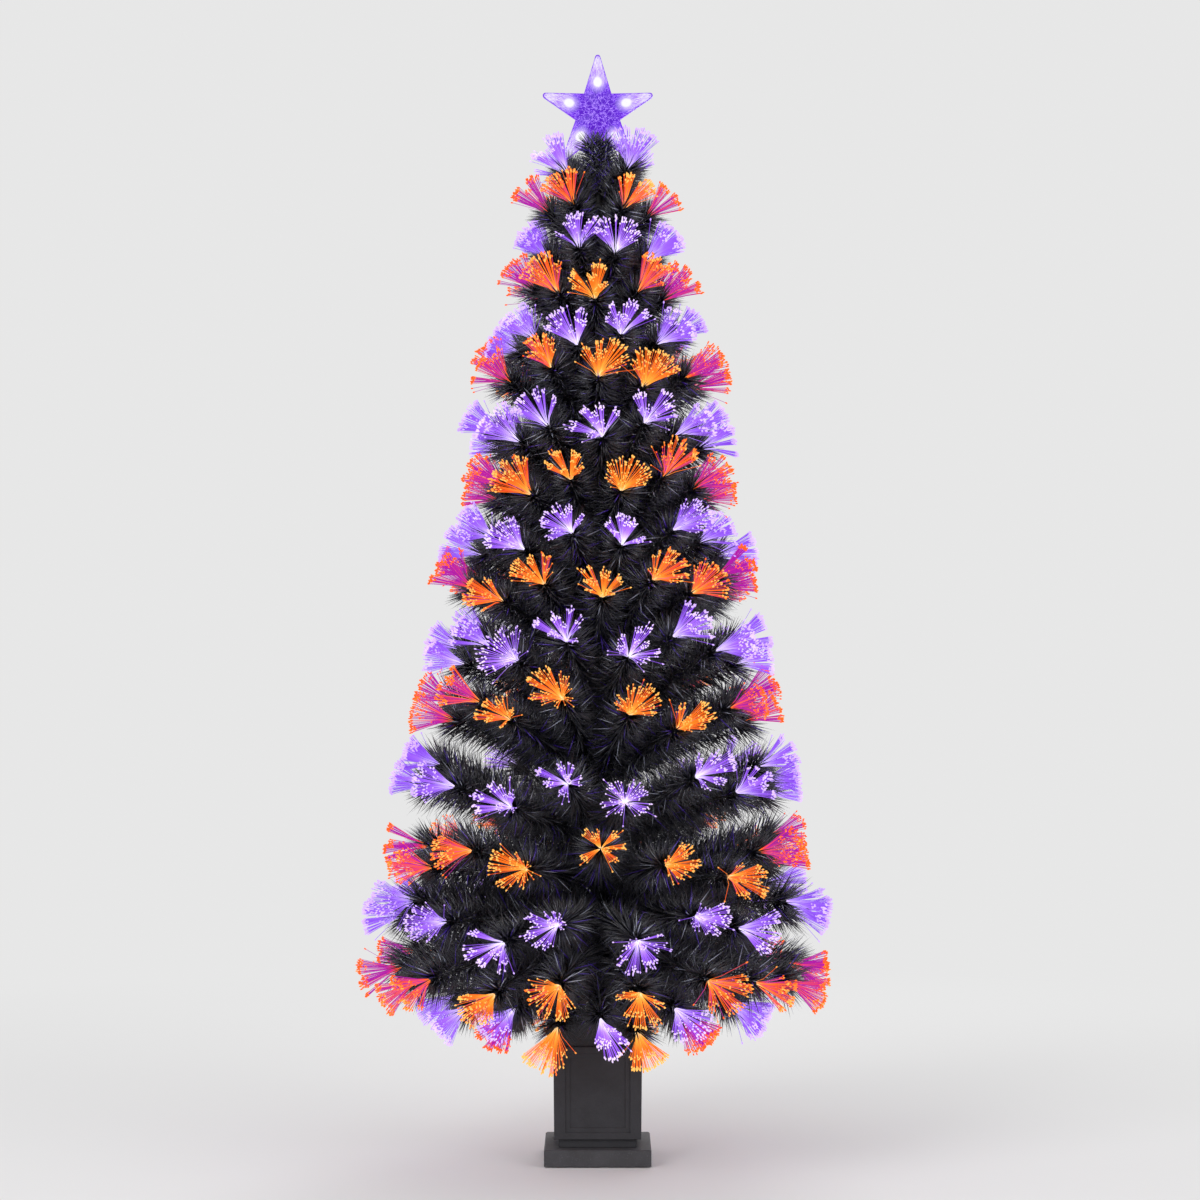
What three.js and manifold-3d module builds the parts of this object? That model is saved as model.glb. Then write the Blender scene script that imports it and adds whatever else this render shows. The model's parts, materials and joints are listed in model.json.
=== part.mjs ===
// Fibre-optic Christmas tree: rows of black tinsel boughs, each ending in a spray of lit fibres,
// on a two-piece trunk that stands in a square panelled pot, with a lit star on top.
// Millimetres, +Z up. The origin is the middle of the base plate's underside; the front faces -Y.
import * as THREE from "three";
import { mergeVertices } from "three/addons/utils/BufferGeometryUtils.js";
import Module from "manifold-3d";

const wasm = await Module();
wasm.setup();

// Clearances
const seatGap = 0.3;
const cutOverrun = 1;

// Sides of the round pieces
const roundSides = 14;
const smallSides = 8;
const leadSides = 6;

// Pot: feet, base plate and plinth
const footRadius = 9;
const footHeight = 4;
const footProud = 2;
const footInset = 22;
const plinthWidth = 172.5;
const plinthHeight = 26.7;
const plinthWall = 3;
const plinthChamfer = 2;
const plateThickness = 4;
const railLength = 40;
const railWidth = 4;
const railHeight = 3;
const railSpacing = 26;

// Pot: screws that hold the base plate
const screwHeadRadius = 3.6;
const screwHeadHeight = 2.2;
const screwShankRadius = 1.7;
const screwLength = 14;
const screwInset = 11;
const bossRadius = 5;

// Pot: body with its neck, panels and cove
const neckSetback = 7.2;
const neckHeight = 14;
const bodyBottomWidth = 140.4;
const bodyTopWidth = 143;
const bodyHeight = 149;
const coveSetback = 4.5;
const coveHeight = 12;
const bodyChamfer = 1.5;
const bodyWall = 3.5;
const topWall = 4.8;
const neckWall = 4;
const panelMargin = 17.7;
const panelRim = 10.5;
const panelDepth = 2.5;
const fieldMargin = 7.75;
const fieldRim = 7.5;
const fieldDepth = 2;

// Pot: cap slab
const capWidth = 163;
const capHeight = 27;
const capEdge = 2.5;
const capTop = 7;
const capHollowWidth = 112;

// Pot: ballast and the socket that holds the trunk
const ballastRoom = 7;
const ballastHeight = 110;
const socketWall = 3.5;
const socketFloor = 3;
const socketProud = 31;
const clampHeight = 17;
const nutRadius = 7;
const nutLength = 8;

// Pot: thumbscrew
const clampRadius = 3;
const clampLength = 23;
const knobRadius = 10;
const knobThickness = 10;
const knobLobes = 6;
const knobGroove = 1.2;
const knobBoreDepth = 8;

// Pot: power inlet and rocker switch in the plinth's back
const inletOffset = 28;
const inletFlangeRadius = 5.5;
const inletFlangeHeight = 1.5;
const inletBarrelRadius = 4;
const inletLength = 12;
const inletBoreRadius = 2.85;
const inletBoreDepth = 9;
const inletPinRadius = 1;
const inletPinSetback = 1;
const switchOffset = 26;
const switchBezelWidth = 24;
const switchBezelHeight = 15;
const switchBezelThickness = 2;
const switchBodyWidth = 20;
const switchBodyHeight = 11.5;
const switchBodyDepth = 12;
const rockerLength = 14.8;
const rockerWidth = 7.6;
const rockerBelow = 1.5;
const rockerAbove = 3.2;
const rockerDip = 1.3;
const rockerSetback = 1.4;
const rockerEndRoom = 0.9;
const rockerFloorRoom = 1.9;

// Pot: controller board and leads
const boardWidth = 50;
const boardDepth = 34;
const boardThickness = 1.6;
const chipSize = 11;
const chipHeight = 3;
const potLeadRadius = 1.8;
const leadBend = 12;
const potLeadRoom = 3.5;

// Plug and jack of the lights: at the cap, and again at the trunk's joint
const plugHalfWidth = 6;
const plugHeight = 14;
const plugOuter = 36.5;
const jackInner = 24.5;
const jackFlange = 3;
const jackFlangeMargin = 2;
const jackShankMargin = 2;
const tongueWidth = 6;
const tongueDepth = 5;
const tongueLength = 8;

// Trunk
const trunkRadius = 12.5;
const trunkWall = 1.2;
const spigotLength = 70;
const beadHeight = 6;
const trunkFootHeight = 12;
const trunkFootFloor = 3;

// Foliage: how far its base lies below the cap's top, the height it fills, and the widest row
const foliageDrop = 26.3;
const foliageHeight = 1400;
const widestRoot = 322;
const jointShare = 0.589;
const trunkTopBelowFoliage = 5;

// Boughs: collar, needle sleeve and how unevenly they grow
const collarHeight = 12;
const collarWall = 2.5;
const sleeveHalfWidth = 20;
const sleeveHalfHeight = 15;
const sleeveStart = 5;
const sleeveEnd = 9;
const sleeveStartShare = 0.22;
const sleeveMiddleShare = 0.62;
const sleeveSpacingShare = 0.36;
const boughBendShare = 0.6;
const azimuthScatterShare = 0.1;
const backGapShare = 0.5;
const reachScatterShare = 0.05;
const heightScatterShare = 0.12;
const rowGapShare = 0.3;

// Light strings: ring round the trunk, leads along the boughs and the LED holders
const ringWire = 2.4;
const ringDrop = 3;
const leadHalf = 1.1;
const leadGap = 2.5;
const holderLength = 9;
const holderHalf = 3.2;
const holderNeck = 1.8;
const holderDome = 1;
const sleeveSetback = 4;
const mainRadius = 34;
const mainOffset = 1.2;
const mainHalf = 0.7;
const linkHalf = 0.5;

// Fibre sprays: strands in all follow from the rows' counts below
const strandLength = 74;
const strandShortShare = 0.86;
const strandSpreadAngle = 38;
const strandDipAngle = 16;
const thirdStrandEvery = 5;
const sprayRollAngle = 34;

// Star
const starRadius = 94;
const starInnerRadius = 38;
const starTipHalf = 3.2;
const starRimHalf = 4;
const starHalfThickness = 13;
const starWall = 1.6;
const starSeam = 0.15;
const starRise = 106;
const starArms = 5;
const starLedRadius = 48;
const starLedHalf = 3.2;
const starWireHalf = 1;
const starHubHalf = 5.5;

// Top pin, star stem and leader tuft
const pinRadius = 3.9;
const pinFlange = 4;
const pinPlugDepth = 25;
const pinLength = 86;
const stemWall = 1.4;
const stemCap = 3;
const tuftDrop = 28;
const tuftNeckRadius = 16;
const tuftRadius = 42;
const tuftHeight = 112;
const tuftSlotHalf = 14.6;
const tuftSlotFloor = 45;
const tuftShares = [
  { radiusShare: 0, heightShare: 0 },
  { radiusShare: 0.15, heightShare: 0.27 },
  { radiusShare: 0.78, heightShare: 0.52 },
  { radiusShare: 1, heightShare: 0.78 },
  { radiusShare: 0.55, heightShare: 1 },
];

// Rows from the top down: collar and root heights as shares of foliageHeight, radii as shares of widestRoot
const rowShares = [
  { colour: "violet", count: 4, collarShare: 0.961, rootShare: 1.0, radiusShare: 0.193 },
  { colour: "orange", count: 6, collarShare: 0.907, rootShare: 0.954, radiusShare: 0.233 },
  { colour: "violet", count: 8, collarShare: 0.85, rootShare: 0.902, radiusShare: 0.258 },
  { colour: "orange", count: 9, collarShare: 0.796, rootShare: 0.856, radiusShare: 0.311 },
  { colour: "violet", count: 10, collarShare: 0.739, rootShare: 0.801, radiusShare: 0.379 },
  { colour: "orange", count: 11, collarShare: 0.684, rootShare: 0.758, radiusShare: 0.46 },
  { colour: "violet", count: 13, collarShare: 0.619, rootShare: 0.694, radiusShare: 0.506 },
  { colour: "orange", count: 14, collarShare: 0.557, rootShare: 0.634, radiusShare: 0.522 },
  { colour: "violet", count: 14, collarShare: 0.494, rootShare: 0.573, radiusShare: 0.581 },
  { colour: "orange", count: 15, collarShare: 0.435, rootShare: 0.516, radiusShare: 0.63 },
  { colour: "violet", count: 16, collarShare: 0.366, rootShare: 0.446, radiusShare: 0.699 },
  { colour: "orange", count: 16, collarShare: 0.298, rootShare: 0.377, radiusShare: 0.745 },
  { colour: "violet", count: 18, collarShare: 0.226, rootShare: 0.296, radiusShare: 0.87 },
  { colour: "orange", count: 17, collarShare: 0.176, rootShare: 0.215, radiusShare: 0.907 },
  { colour: "violet", count: 18, collarShare: 0.14, rootShare: 0.146, radiusShare: 0.957 },
  { colour: "orange", count: 18, collarShare: 0.109, rootShare: 0.076, radiusShare: 1.0 },
  { colour: "violet", count: 11, collarShare: 0.084, rootShare: 0.041, radiusShare: 0.73 },
  { colour: "orange", count: 8, collarShare: 0.062, rootShare: 0.019, radiusShare: 0.466 },
];

// Levels of the pot, from the floor up
const plateZ = 0;
const floorZ = plateZ - footProud;
const plinthTopZ = plateZ + plinthHeight;
const bodyZ = plinthTopZ + seatGap;
const panelFaceZ = bodyZ + neckHeight;
const coveZ = panelFaceZ + bodyHeight;
const bodyTopZ = coveZ + coveHeight;
const capZ = bodyTopZ + seatGap;
const capTopZ = capZ + capHeight;
const socketZ = bodyZ;
const socketTopZ = capTopZ + socketProud;
const clampZ = capTopZ + clampHeight;
const foliageBase = capTopZ - foliageDrop;

// Widths of the pot's body, and of what stands in it
const recessDepth = panelDepth + fieldDepth;
const neckWidth = bodyBottomWidth - 2 * neckSetback;
const neckInner = neckWidth - 2 * neckWall;
const bottomInner = bodyBottomWidth - 2 * (recessDepth + bodyWall);
const topInner = bodyTopWidth - 2 * (recessDepth + topWall);
const coveWidth = bodyTopWidth - 2 * coveSetback;
const coveInner = coveWidth - 2 * topWall;
const ballastWidth = Math.min(neckInner, topInner) - 2 * ballastRoom;
const potLeadOffset = ballastWidth / 2 + potLeadRoom;

// Levels and radii of the trunk
const socketInner = trunkRadius + seatGap;
const socketOuter = socketInner + socketWall;
const trunkInner = trunkRadius - trunkWall;
const spigotRadius = trunkInner - seatGap;
const spigotInner = spigotRadius - trunkWall;
const trunkZ = socketZ + socketFloor + seatGap;
const jointZ = foliageBase + jointShare * foliageHeight;
const trunkTopZ = foliageBase + foliageHeight - trunkTopBelowFoliage;
const flangeZ = trunkTopZ + seatGap;
const pinTopZ = flangeZ + pinFlange + pinLength;
const stemInner = pinRadius + seatGap;
const stemOuter = stemInner + stemWall;
const stemTopZ = pinTopZ + seatGap + stemCap;
const starZ = trunkTopZ + starRise;

// Materials
function finish(colour, roughness, metalness = 0) {
  return new THREE.MeshStandardMaterial({ color: colour, roughness, metalness });
}

const potPlastic = finish(0x24242a, 0.75);
const innerPlastic = finish(0x1b1b1e, 0.6);
const glossPlastic = finish(0x101012, 0.35);
const rubber = finish(0x141414, 0.9);
const concrete = finish(0x8b8984, 0.95);
const steelPaint = finish(0x1f2422, 0.5, 0.4);
const bareSteel = finish(0xa9adb2, 0.35, 1);
const tinsel = finish(0x16161c, 0.4);
const boardGreen = finish(0x1d5a35, 0.6);
const starClear = finish(0xe9e2ff, 0.25);
const ledWhite = finish(0xf6f0ff, 0.4);
const fibreColours = { violet: finish(0x7a30ff, 0.3), orange: finish(0xff7a20, 0.3) };

// Scene graph
const tree = new THREE.Group();
tree.name = "fibre_optic_tree";
const potGroup = new THREE.Group();
const lowerGroup = new THREE.Group();
const upperGroup = new THREE.Group();
const starGroup = new THREE.Group();
tree.add(potGroup, lowerGroup, upperGroup, starGroup);

function piece(group, name, geometry, material) {
  const mesh = new THREE.Mesh(geometry, material);
  mesh.name = name;
  group.add(mesh);
  return mesh;
}

// Closed geometry to solid and back
function solid(geometry) {
  const bare = geometry.clone();
  bare.deleteAttribute("normal");
  bare.deleteAttribute("uv");
  const merged = mergeVertices(bare);
  return new wasm.Manifold(
    new wasm.Mesh({
      numProp: 3,
      vertProperties: new Float32Array(merged.attributes.position.array),
      triVerts: new Uint32Array(merged.index.array),
    }),
  );
}

function shape(manifold) {
  const mesh = manifold.getMesh();
  const geometry = new THREE.BufferGeometry();
  geometry.setAttribute("position", new THREE.BufferAttribute(new Float32Array(mesh.vertProperties), 3));
  geometry.setIndex(new THREE.BufferAttribute(new Uint32Array(mesh.triVerts), 1));
  geometry.computeVertexNormals();
  return geometry;
}

function joined(first, ...others) {
  return others.reduce((sum, other) => sum.add(other), first);
}

function cut(first, ...others) {
  return others.reduce((rest, other) => rest.subtract(other), first);
}

// Box between two corners
function block(low, high) {
  const size = high.map((value, axis) => value - low[axis]);
  const geometry = new THREE.BoxGeometry(size[0], size[1], size[2]);
  geometry.translate((low[0] + high[0]) / 2, (low[1] + high[1]) / 2, (low[2] + high[2]) / 2);
  return solid(geometry);
}

// Turned solid about the Z axis from [radius, z] points; a profile off the axis closes on itself
function turned(profile, sides = roundSides) {
  const points = profile.map(([radius, z]) => new THREE.Vector2(radius, z));
  if (profile[0][0] > 0) points.push(points[0].clone());
  const geometry = new THREE.LatheGeometry(points, sides);
  geometry.rotateX(Math.PI / 2);
  return geometry;
}

function rod(radius, bottom, top, sides = roundSides) {
  return turned([[0, bottom], [radius, bottom], [radius, top], [0, top]], sides);
}

function tube(inner, outer, bottom, top, sides = roundSides) {
  return turned([[inner, bottom], [outer, bottom], [outer, top], [inner, top]], sides);
}

// Round bar along +X through (0, 0, z)
function barAlongX(radius, from, to, z, sides = smallSides) {
  const geometry = rod(radius, from, to, sides);
  geometry.rotateY(Math.PI / 2);
  geometry.translate(0, 0, z);
  return geometry;
}

// Stack of squares with cut corners: levels are [z, width]
function squareStack(levels, chamfer) {
  const body = new Polyhedron();
  const loops = levels.map(([z, width]) => {
    const half = width / 2;
    const flat = half - chamfer;
    const corners = [
      [flat, -half], [half, -flat], [half, flat], [flat, half],
      [-flat, half], [-half, flat], [-half, -flat], [-flat, -half],
    ];
    return corners.map(([x, y]) => body.point(new THREE.Vector3(x, y, z)));
  });
  body.cap([...loops[0]].reverse());
  for (let i = 1; i < loops.length; i += 1) body.wall(loops[i - 1], loops[i]);
  body.cap(loops[loops.length - 1]);
  return solid(body.geometry());
}

// Tube of a round lead along a curve
function lead(points, radius) {
  const section = new THREE.Shape();
  section.absarc(0, 0, radius, 0, 2 * Math.PI);
  const places = points.map((p) => new THREE.Vector3(...p));
  const curve = new THREE.CatmullRomCurve3(places, false, "centripetal");
  return new THREE.ExtrudeGeometry(section, {
    extrudePath: curve,
    steps: points.length * 3,
    curveSegments: leadSides / 2,
  });
}

// Polyhedron built face by face; every loop runs anticlockwise as seen from outside
class Polyhedron {
  constructor() {
    this.points = [];
    this.faces = [];
  }

  point(p) {
    this.points.push(p.x, p.y, p.z);
    return this.points.length / 3 - 1;
  }

  face(a, b, c) {
    this.faces.push(a, b, c);
  }

  wall(from, to) {
    for (let i = 0; i < from.length; i += 1) {
      const j = (i + 1) % from.length;
      this.face(from[i], from[j], to[j]);
      this.face(from[i], to[j], to[i]);
    }
  }

  cap(loop) {
    for (let i = 1; i < loop.length - 1; i += 1) this.face(loop[0], loop[i], loop[i + 1]);
  }

  capAbout(loop, centre) {
    for (let i = 0; i < loop.length; i += 1) this.face(loop[i], loop[(i + 1) % loop.length], centre);
  }

  grow(loop, points) {
    const next = points.map((p) => this.point(p));
    this.wall(loop, next);
    return next;
  }

  geometry() {
    const geometry = new THREE.BufferGeometry();
    geometry.setAttribute("position", new THREE.BufferAttribute(new Float32Array(this.points), 3));
    geometry.setIndex(this.faces);
    geometry.computeVertexNormals();
    return geometry;
  }
}

// Steady scatter between -1 and 1: the nth step of an irrational stride
const azimuthStrideShare = 0.618034;
const reachStrideShare = 0.754878;
const heightStrideShare = 0.569840;
const rollStrideShare = 0.414214;

function scatter(n, stride) {
  return 2 * ((n * stride) % 1) - 1;
}

// Boughs: where each one starts, bends and ends, in its own upright plane
const backAzimuth = Math.PI / 2;
let boughSerial = 0;

// Azimuths of a row's boughs, spread evenly from the gap at the back, with the edges of their facets
function azimuthsOf(count, firstSerial) {
  const step = (2 * Math.PI) / count;
  const stride = (count - 2 * backGapShare) / (count - 1);
  const azimuths = Array.from({ length: count }, (_, i) => {
    const besideGap = i === 0 || i === count - 1;
    const nudge = besideGap ? 0 : azimuthScatterShare * scatter(firstSerial + i + 1, azimuthStrideShare);
    return backAzimuth + (backGapShare + i * stride + nudge) * step;
  });
  const edges = azimuths.map((azimuth, i) => (i === 0 ? backAzimuth : (azimuths[i - 1] + azimuth) / 2));
  const closing = backAzimuth + 2 * Math.PI;
  const widths = edges.map((edge, i) => (i === count - 1 ? closing : edges[i + 1]) - edge);
  return { azimuths, edges, widest: Math.max(...widths) };
}

// How far a row's boughs stray up and down: a share of their reach, within a share of the gap between rows
function strayOf(row, index) {
  const beside = [rowShares[index - 1], rowShares[index + 1]].filter(Boolean);
  const gapShare = Math.min(...beside.map((other) => Math.abs(other.rootShare - row.rootShare)));
  return Math.min(
    heightScatterShare * widestRoot * row.radiusShare,
    rowGapShare * foliageHeight * gapShare,
  );
}

function boughsOf(row, index) {
  const collarZ = foliageBase + row.collarShare * foliageHeight;
  const rootZ = foliageBase + row.rootShare * foliageHeight;
  const shaft = collarZ > jointZ ? spigotRadius : trunkRadius;
  const stray = strayOf(row, index);
  const firstSerial = boughSerial;
  boughSerial += row.count;
  const { azimuths, edges, widest } = azimuthsOf(row.count, firstSerial);
  const collarInner = (shaft + seatGap) / Math.cos(widest / 2);
  const boughs = azimuths.map((azimuth, i) => {
    const serial = firstSerial + i + 1;
    const stretch = 1 + reachScatterShare * scatter(serial, reachStrideShare);
    const reach = widestRoot * row.radiusShare * stretch;
    const height = rootZ + stray * scatter(serial, heightStrideShare);
    const startRadius = collarInner + collarWall;
    const bendZ = collarZ + boughBendShare * Math.max(height - collarZ, 0);
    const start = new THREE.Vector2(startRadius, collarZ);
    const bend = new THREE.Vector2((startRadius + reach) / 2, bendZ);
    const root = new THREE.Vector2(reach, height);
    const end = root.clone().sub(bend).normalize();
    return { azimuth, serial, curve: new THREE.QuadraticBezierCurve(start, bend, root), root, end };
  });
  return { ...row, collarZ, step: (2 * Math.PI) / row.count, collarInner, boughs, edges };
}

const rows = rowShares.map(boughsOf);

// Point in a bough's plane, and a section square to its run
function inPlane(azimuth, flat, lateral = 0) {
  return new THREE.Vector3(
    flat.x * Math.cos(azimuth) - lateral * Math.sin(azimuth),
    flat.x * Math.sin(azimuth) + lateral * Math.cos(azimuth),
    flat.y,
  );
}

function normalOf(direction) {
  return new THREE.Vector2(-direction.y, direction.x);
}

function section(azimuth, centre, direction, corners) {
  const up = normalOf(direction);
  return corners.map(([lateral, height]) => {
    const flat = centre.clone().addScaledVector(up, height);
    return inPlane(azimuth, flat, lateral);
  });
}

function square(halfWidth, halfHeight) {
  return [
    [-halfWidth, -halfHeight],
    [halfWidth, -halfHeight],
    [halfWidth, halfHeight],
    [-halfWidth, halfHeight],
  ];
}

function triangle(half) {
  return [[-half, -half], [half, -half], [0, half]];
}

// Ring round the trunk with one limb on each outer facet; the profile starts with the outer edge
function ringWithLimbs(row, profile, limb) {
  const body = new Polyhedron();
  const loops = profile.map(([radius, z]) =>
    row.edges.map((azimuth) => body.point(inPlane(azimuth, new THREE.Vector2(radius, z)))),
  );
  for (let k = 0; k < row.count; k += 1) {
    const next = (k + 1) % row.count;
    for (let j = 1; j < loops.length; j += 1) {
      const to = loops[(j + 1) % loops.length];
      body.cap([loops[j][k], loops[j][next], to[next], to[k]]);
    }
    limb(body, row.boughs[k], [loops[0][k], loops[0][next], loops[1][next], loops[1][k]]);
  }
  return body.geometry();
}

// Needle sleeves on their stems, all on one collar
function boughRing(row) {
  const outer = row.collarInner + collarWall;
  const bottom = row.collarZ - collarHeight / 2;
  const top = row.collarZ + collarHeight / 2;
  const profile = [[outer, bottom], [outer, top], [row.collarInner, top], [row.collarInner, bottom]];
  return ringWithLimbs(row, profile, (body, bough, facet) => {
    const first = bough.curve.getPoint(sleeveStartShare);
    const middle = bough.curve.getPoint(sleeveMiddleShare);
    const last = bough.root.clone().addScaledVector(bough.end, -(holderLength + sleeveSetback));
    const halfWidth = Math.min(sleeveHalfWidth, sleeveSpacingShare * row.step * middle.x);
    const firstRun = bough.curve.getTangent(sleeveStartShare);
    const middleRun = bough.curve.getTangent(sleeveMiddleShare);
    const startHalf = Math.min(sleeveStart, sleeveSpacingShare * row.step * first.x);
    let loop = body.grow(facet, section(bough.azimuth, first, firstRun, square(startHalf, startHalf)));
    loop = body.grow(loop, section(bough.azimuth, middle, middleRun, square(halfWidth, sleeveHalfHeight)));
    loop = body.grow(loop, section(bough.azimuth, last, bough.end, square(sleeveEnd, sleeveEnd)));
    body.cap(loop);
  });
}

// Three-sided strands of a spray, tapered to a point: two, or three on every fifth bough
function strand(body, bough, base, spread, dip, length) {
  const side = new THREE.Vector3(-Math.sin(bough.azimuth), Math.cos(bough.azimuth), 0);
  const ahead = inPlane(bough.azimuth, bough.end);
  const up = inPlane(bough.azimuth, normalOf(bough.end));
  const roll = THREE.MathUtils.degToRad(sprayRollAngle * scatter(bough.serial, rollStrideShare));
  const across = side.clone().multiplyScalar(Math.cos(roll)).addScaledVector(up, Math.sin(roll));
  const below = side.clone().multiplyScalar(Math.sin(roll)).addScaledVector(up, -Math.cos(roll));
  const run = ahead.clone().multiplyScalar(Math.cos(spread) * Math.cos(dip));
  run.addScaledVector(across, Math.sin(spread)).addScaledVector(below, Math.sin(dip));
  const tip = new THREE.Vector3();
  for (const index of base) tip.add(new THREE.Vector3().fromArray(body.points, index * 3));
  tip.divideScalar(base.length).addScaledVector(run.normalize(), length);
  body.capAbout(base, body.point(tip));
}

// Ring wire, leads, LED holders and strands of one row
function lightRing(row) {
  const shaft = row.collarInner;
  const z = row.collarZ - collarHeight / 2 - ringDrop;
  const outer = shaft + ringWire;
  const profile = [[outer, z - ringWire / 2], [outer, z + ringWire / 2], [shaft, z]];
  const spread = THREE.MathUtils.degToRad(strandSpreadAngle);
  const dip = THREE.MathUtils.degToRad(strandDipAngle);
  return ringWithLimbs(row, profile, (body, bough, facet) => {
    const middle = bough.curve.getPoint(sleeveMiddleShare);
    const middleRun = bough.curve.getTangent(sleeveMiddleShare);
    const under = middle.clone().addScaledVector(normalOf(middleRun), -(sleeveHalfHeight + leadGap));
    const turn = bough.root.clone().addScaledVector(bough.end, -(holderLength + holderNeck));
    turn.addScaledVector(normalOf(bough.end), -(sleeveEnd + leadGap));
    const [left, right, topRight, topLeft] = facet;
    body.face(topLeft, right, topRight);
    const wire = triangle(leadHalf);
    let loop = body.grow([left, right, topLeft], section(bough.azimuth, under, middleRun, wire));
    loop = body.grow(loop, section(bough.azimuth, turn, bough.end, wire));
    loop = body.grow(loop, section(bough.azimuth, bough.root, bough.end, triangle(holderHalf)));
    const crown = bough.root.clone().addScaledVector(bough.end, holderDome);
    const dome = body.point(inPlane(bough.azimuth, crown));
    strand(body, bough, [loop[1], loop[2], dome], spread, 0, strandLength);
    strand(body, bough, [loop[2], loop[0], dome], -spread, 0, strandLength);
    if (bough.serial % thirdStrandEvery === 0) {
      strand(body, bough, [loop[0], loop[1], dome], 0, dip, strandLength * strandShortShare);
    } else {
      body.face(loop[0], loop[1], dome);
    }
  });
}

// One light string: its rows' rings joined to a main wire up the back of the trunk
function lightString(colour, members, bottomZ) {
  const x = colour === "violet" ? -mainOffset : mainOffset;
  const ringZ = (row) => row.collarZ - collarHeight / 2 - ringDrop;
  const topZ = Math.max(...members.map(ringZ)) + 2 * mainHalf;
  let whole = block(
    [x - mainHalf, mainRadius - mainHalf, bottomZ],
    [x + mainHalf, mainRadius + mainHalf, topZ],
  );
  for (const row of members) {
    const link = block(
      [x - linkHalf, row.collarInner + ringWire / 3, ringZ(row) - linkHalf],
      [x + linkHalf, mainRadius, ringZ(row) + linkHalf],
    );
    whole = joined(whole, link, solid(lightRing(row)));
  }
  return shape(whole);
}

// Positions of what sits near the plinth's four corners
function cornerPlaces(inset) {
  const reach = plinthWidth / 2 - inset;
  return [[-reach, -reach], [reach, -reach], [reach, reach], [-reach, reach]];
}

const footPlaces = cornerPlaces(footInset);
const screwPlaces = cornerPlaces(screwInset);
const plateTopZ = plateZ + plateThickness;
const backFace = plinthWidth / 2;
const wallMiddleZ = plateTopZ + (plinthTopZ - plinthWall - plateTopZ) / 2;

function at(geometry, x, y) {
  geometry.translate(x, y, 0);
  return geometry;
}

// Base plate with rails for the board, foot recesses and screw holes
function basePlate() {
  const width = plinthWidth - 2 * (plinthWall + seatGap);
  let plate = squareStack([[plateZ, width], [plateTopZ, width]], plinthChamfer);
  for (const side of [-1, 1]) {
    const middle = (side * railSpacing) / 2;
    const rail = block(
      [-railLength / 2, middle - railWidth / 2, plateTopZ - seatGap],
      [railLength / 2, middle + railWidth / 2, plateTopZ + railHeight],
    );
    plate = joined(plate, rail);
  }
  for (const [x, y] of footPlaces) {
    const recessTop = floorZ + footHeight + seatGap;
    const recess = rod(footRadius + seatGap, plateZ - cutOverrun, recessTop, smallSides);
    plate = cut(plate, solid(at(recess, x, y)));
  }
  for (const [x, y] of screwPlaces) {
    const headTop = plateZ + screwHeadHeight + seatGap;
    const head = rod(screwHeadRadius + seatGap, plateZ - cutOverrun, headTop, smallSides);
    const hole = rod(screwShankRadius + seatGap, plateZ - cutOverrun, plateTopZ + cutOverrun, smallSides);
    plate = cut(plate, solid(at(head, x, y)), solid(at(hole, x, y)));
  }
  return shape(plate);
}

// Plinth: inverted tray with screw bosses and the openings for inlet, switch and lead
function plinth() {
  const inside = plinthWidth - 2 * plinthWall;
  let shell = squareStack(
    [
      [plateZ, plinthWidth],
      [plinthTopZ - plinthChamfer, plinthWidth],
      [plinthTopZ, plinthWidth - 2 * plinthChamfer],
    ],
    plinthChamfer,
  );
  const roofZ = plinthTopZ - plinthWall;
  shell = cut(shell, squareStack([[plateZ - cutOverrun, inside], [roofZ, inside]], plinthChamfer));
  for (const [x, y] of screwPlaces) {
    const boss = solid(at(rod(bossRadius, plateTopZ + seatGap, roofZ + plinthWall / 2, smallSides), x, y));
    const pilotTop = plateZ + screwLength + seatGap;
    const pilot = rod(screwShankRadius + seatGap, plateTopZ - cutOverrun, pilotTop, smallSides);
    shell = cut(joined(shell, boss), solid(at(pilot, x, y)));
  }
  const leadBore = rod(potLeadRadius + seatGap, roofZ - cutOverrun, bodyZ + cutOverrun, leadSides);
  const leadHole = solid(at(leadBore, 0, potLeadOffset));
  const inletBore = rod(inletBarrelRadius + seatGap, -plinthWall - cutOverrun, cutOverrun, smallSides);
  const inletHole = solid(backward(inletBore, inletOffset));
  const halfWidth = switchBodyWidth / 2 + seatGap;
  const halfHeight = switchBodyHeight / 2 + seatGap;
  const switchHole = block(
    [-switchOffset - halfWidth, backFace - plinthWall - cutOverrun, wallMiddleZ - halfHeight],
    [-switchOffset + halfWidth, backFace + cutOverrun, wallMiddleZ + halfHeight],
  );
  return shape(cut(shell, leadHole, inletHole, switchHole));
}

// Turns a solid made along +Z so that it runs out of the plinth's back face at offset x
function backward(geometry, x) {
  geometry.rotateX(-Math.PI / 2);
  geometry.translate(x, backFace, wallMiddleZ);
  return geometry;
}

function screw() {
  return turned(
    [
      [0, plateZ],
      [screwHeadRadius, plateZ],
      [screwHeadRadius, plateZ + screwHeadHeight],
      [screwShankRadius, plateZ + screwHeadHeight],
      [screwShankRadius, plateZ + screwLength],
      [0, plateZ + screwLength],
    ],
    smallSides,
  );
}

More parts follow.
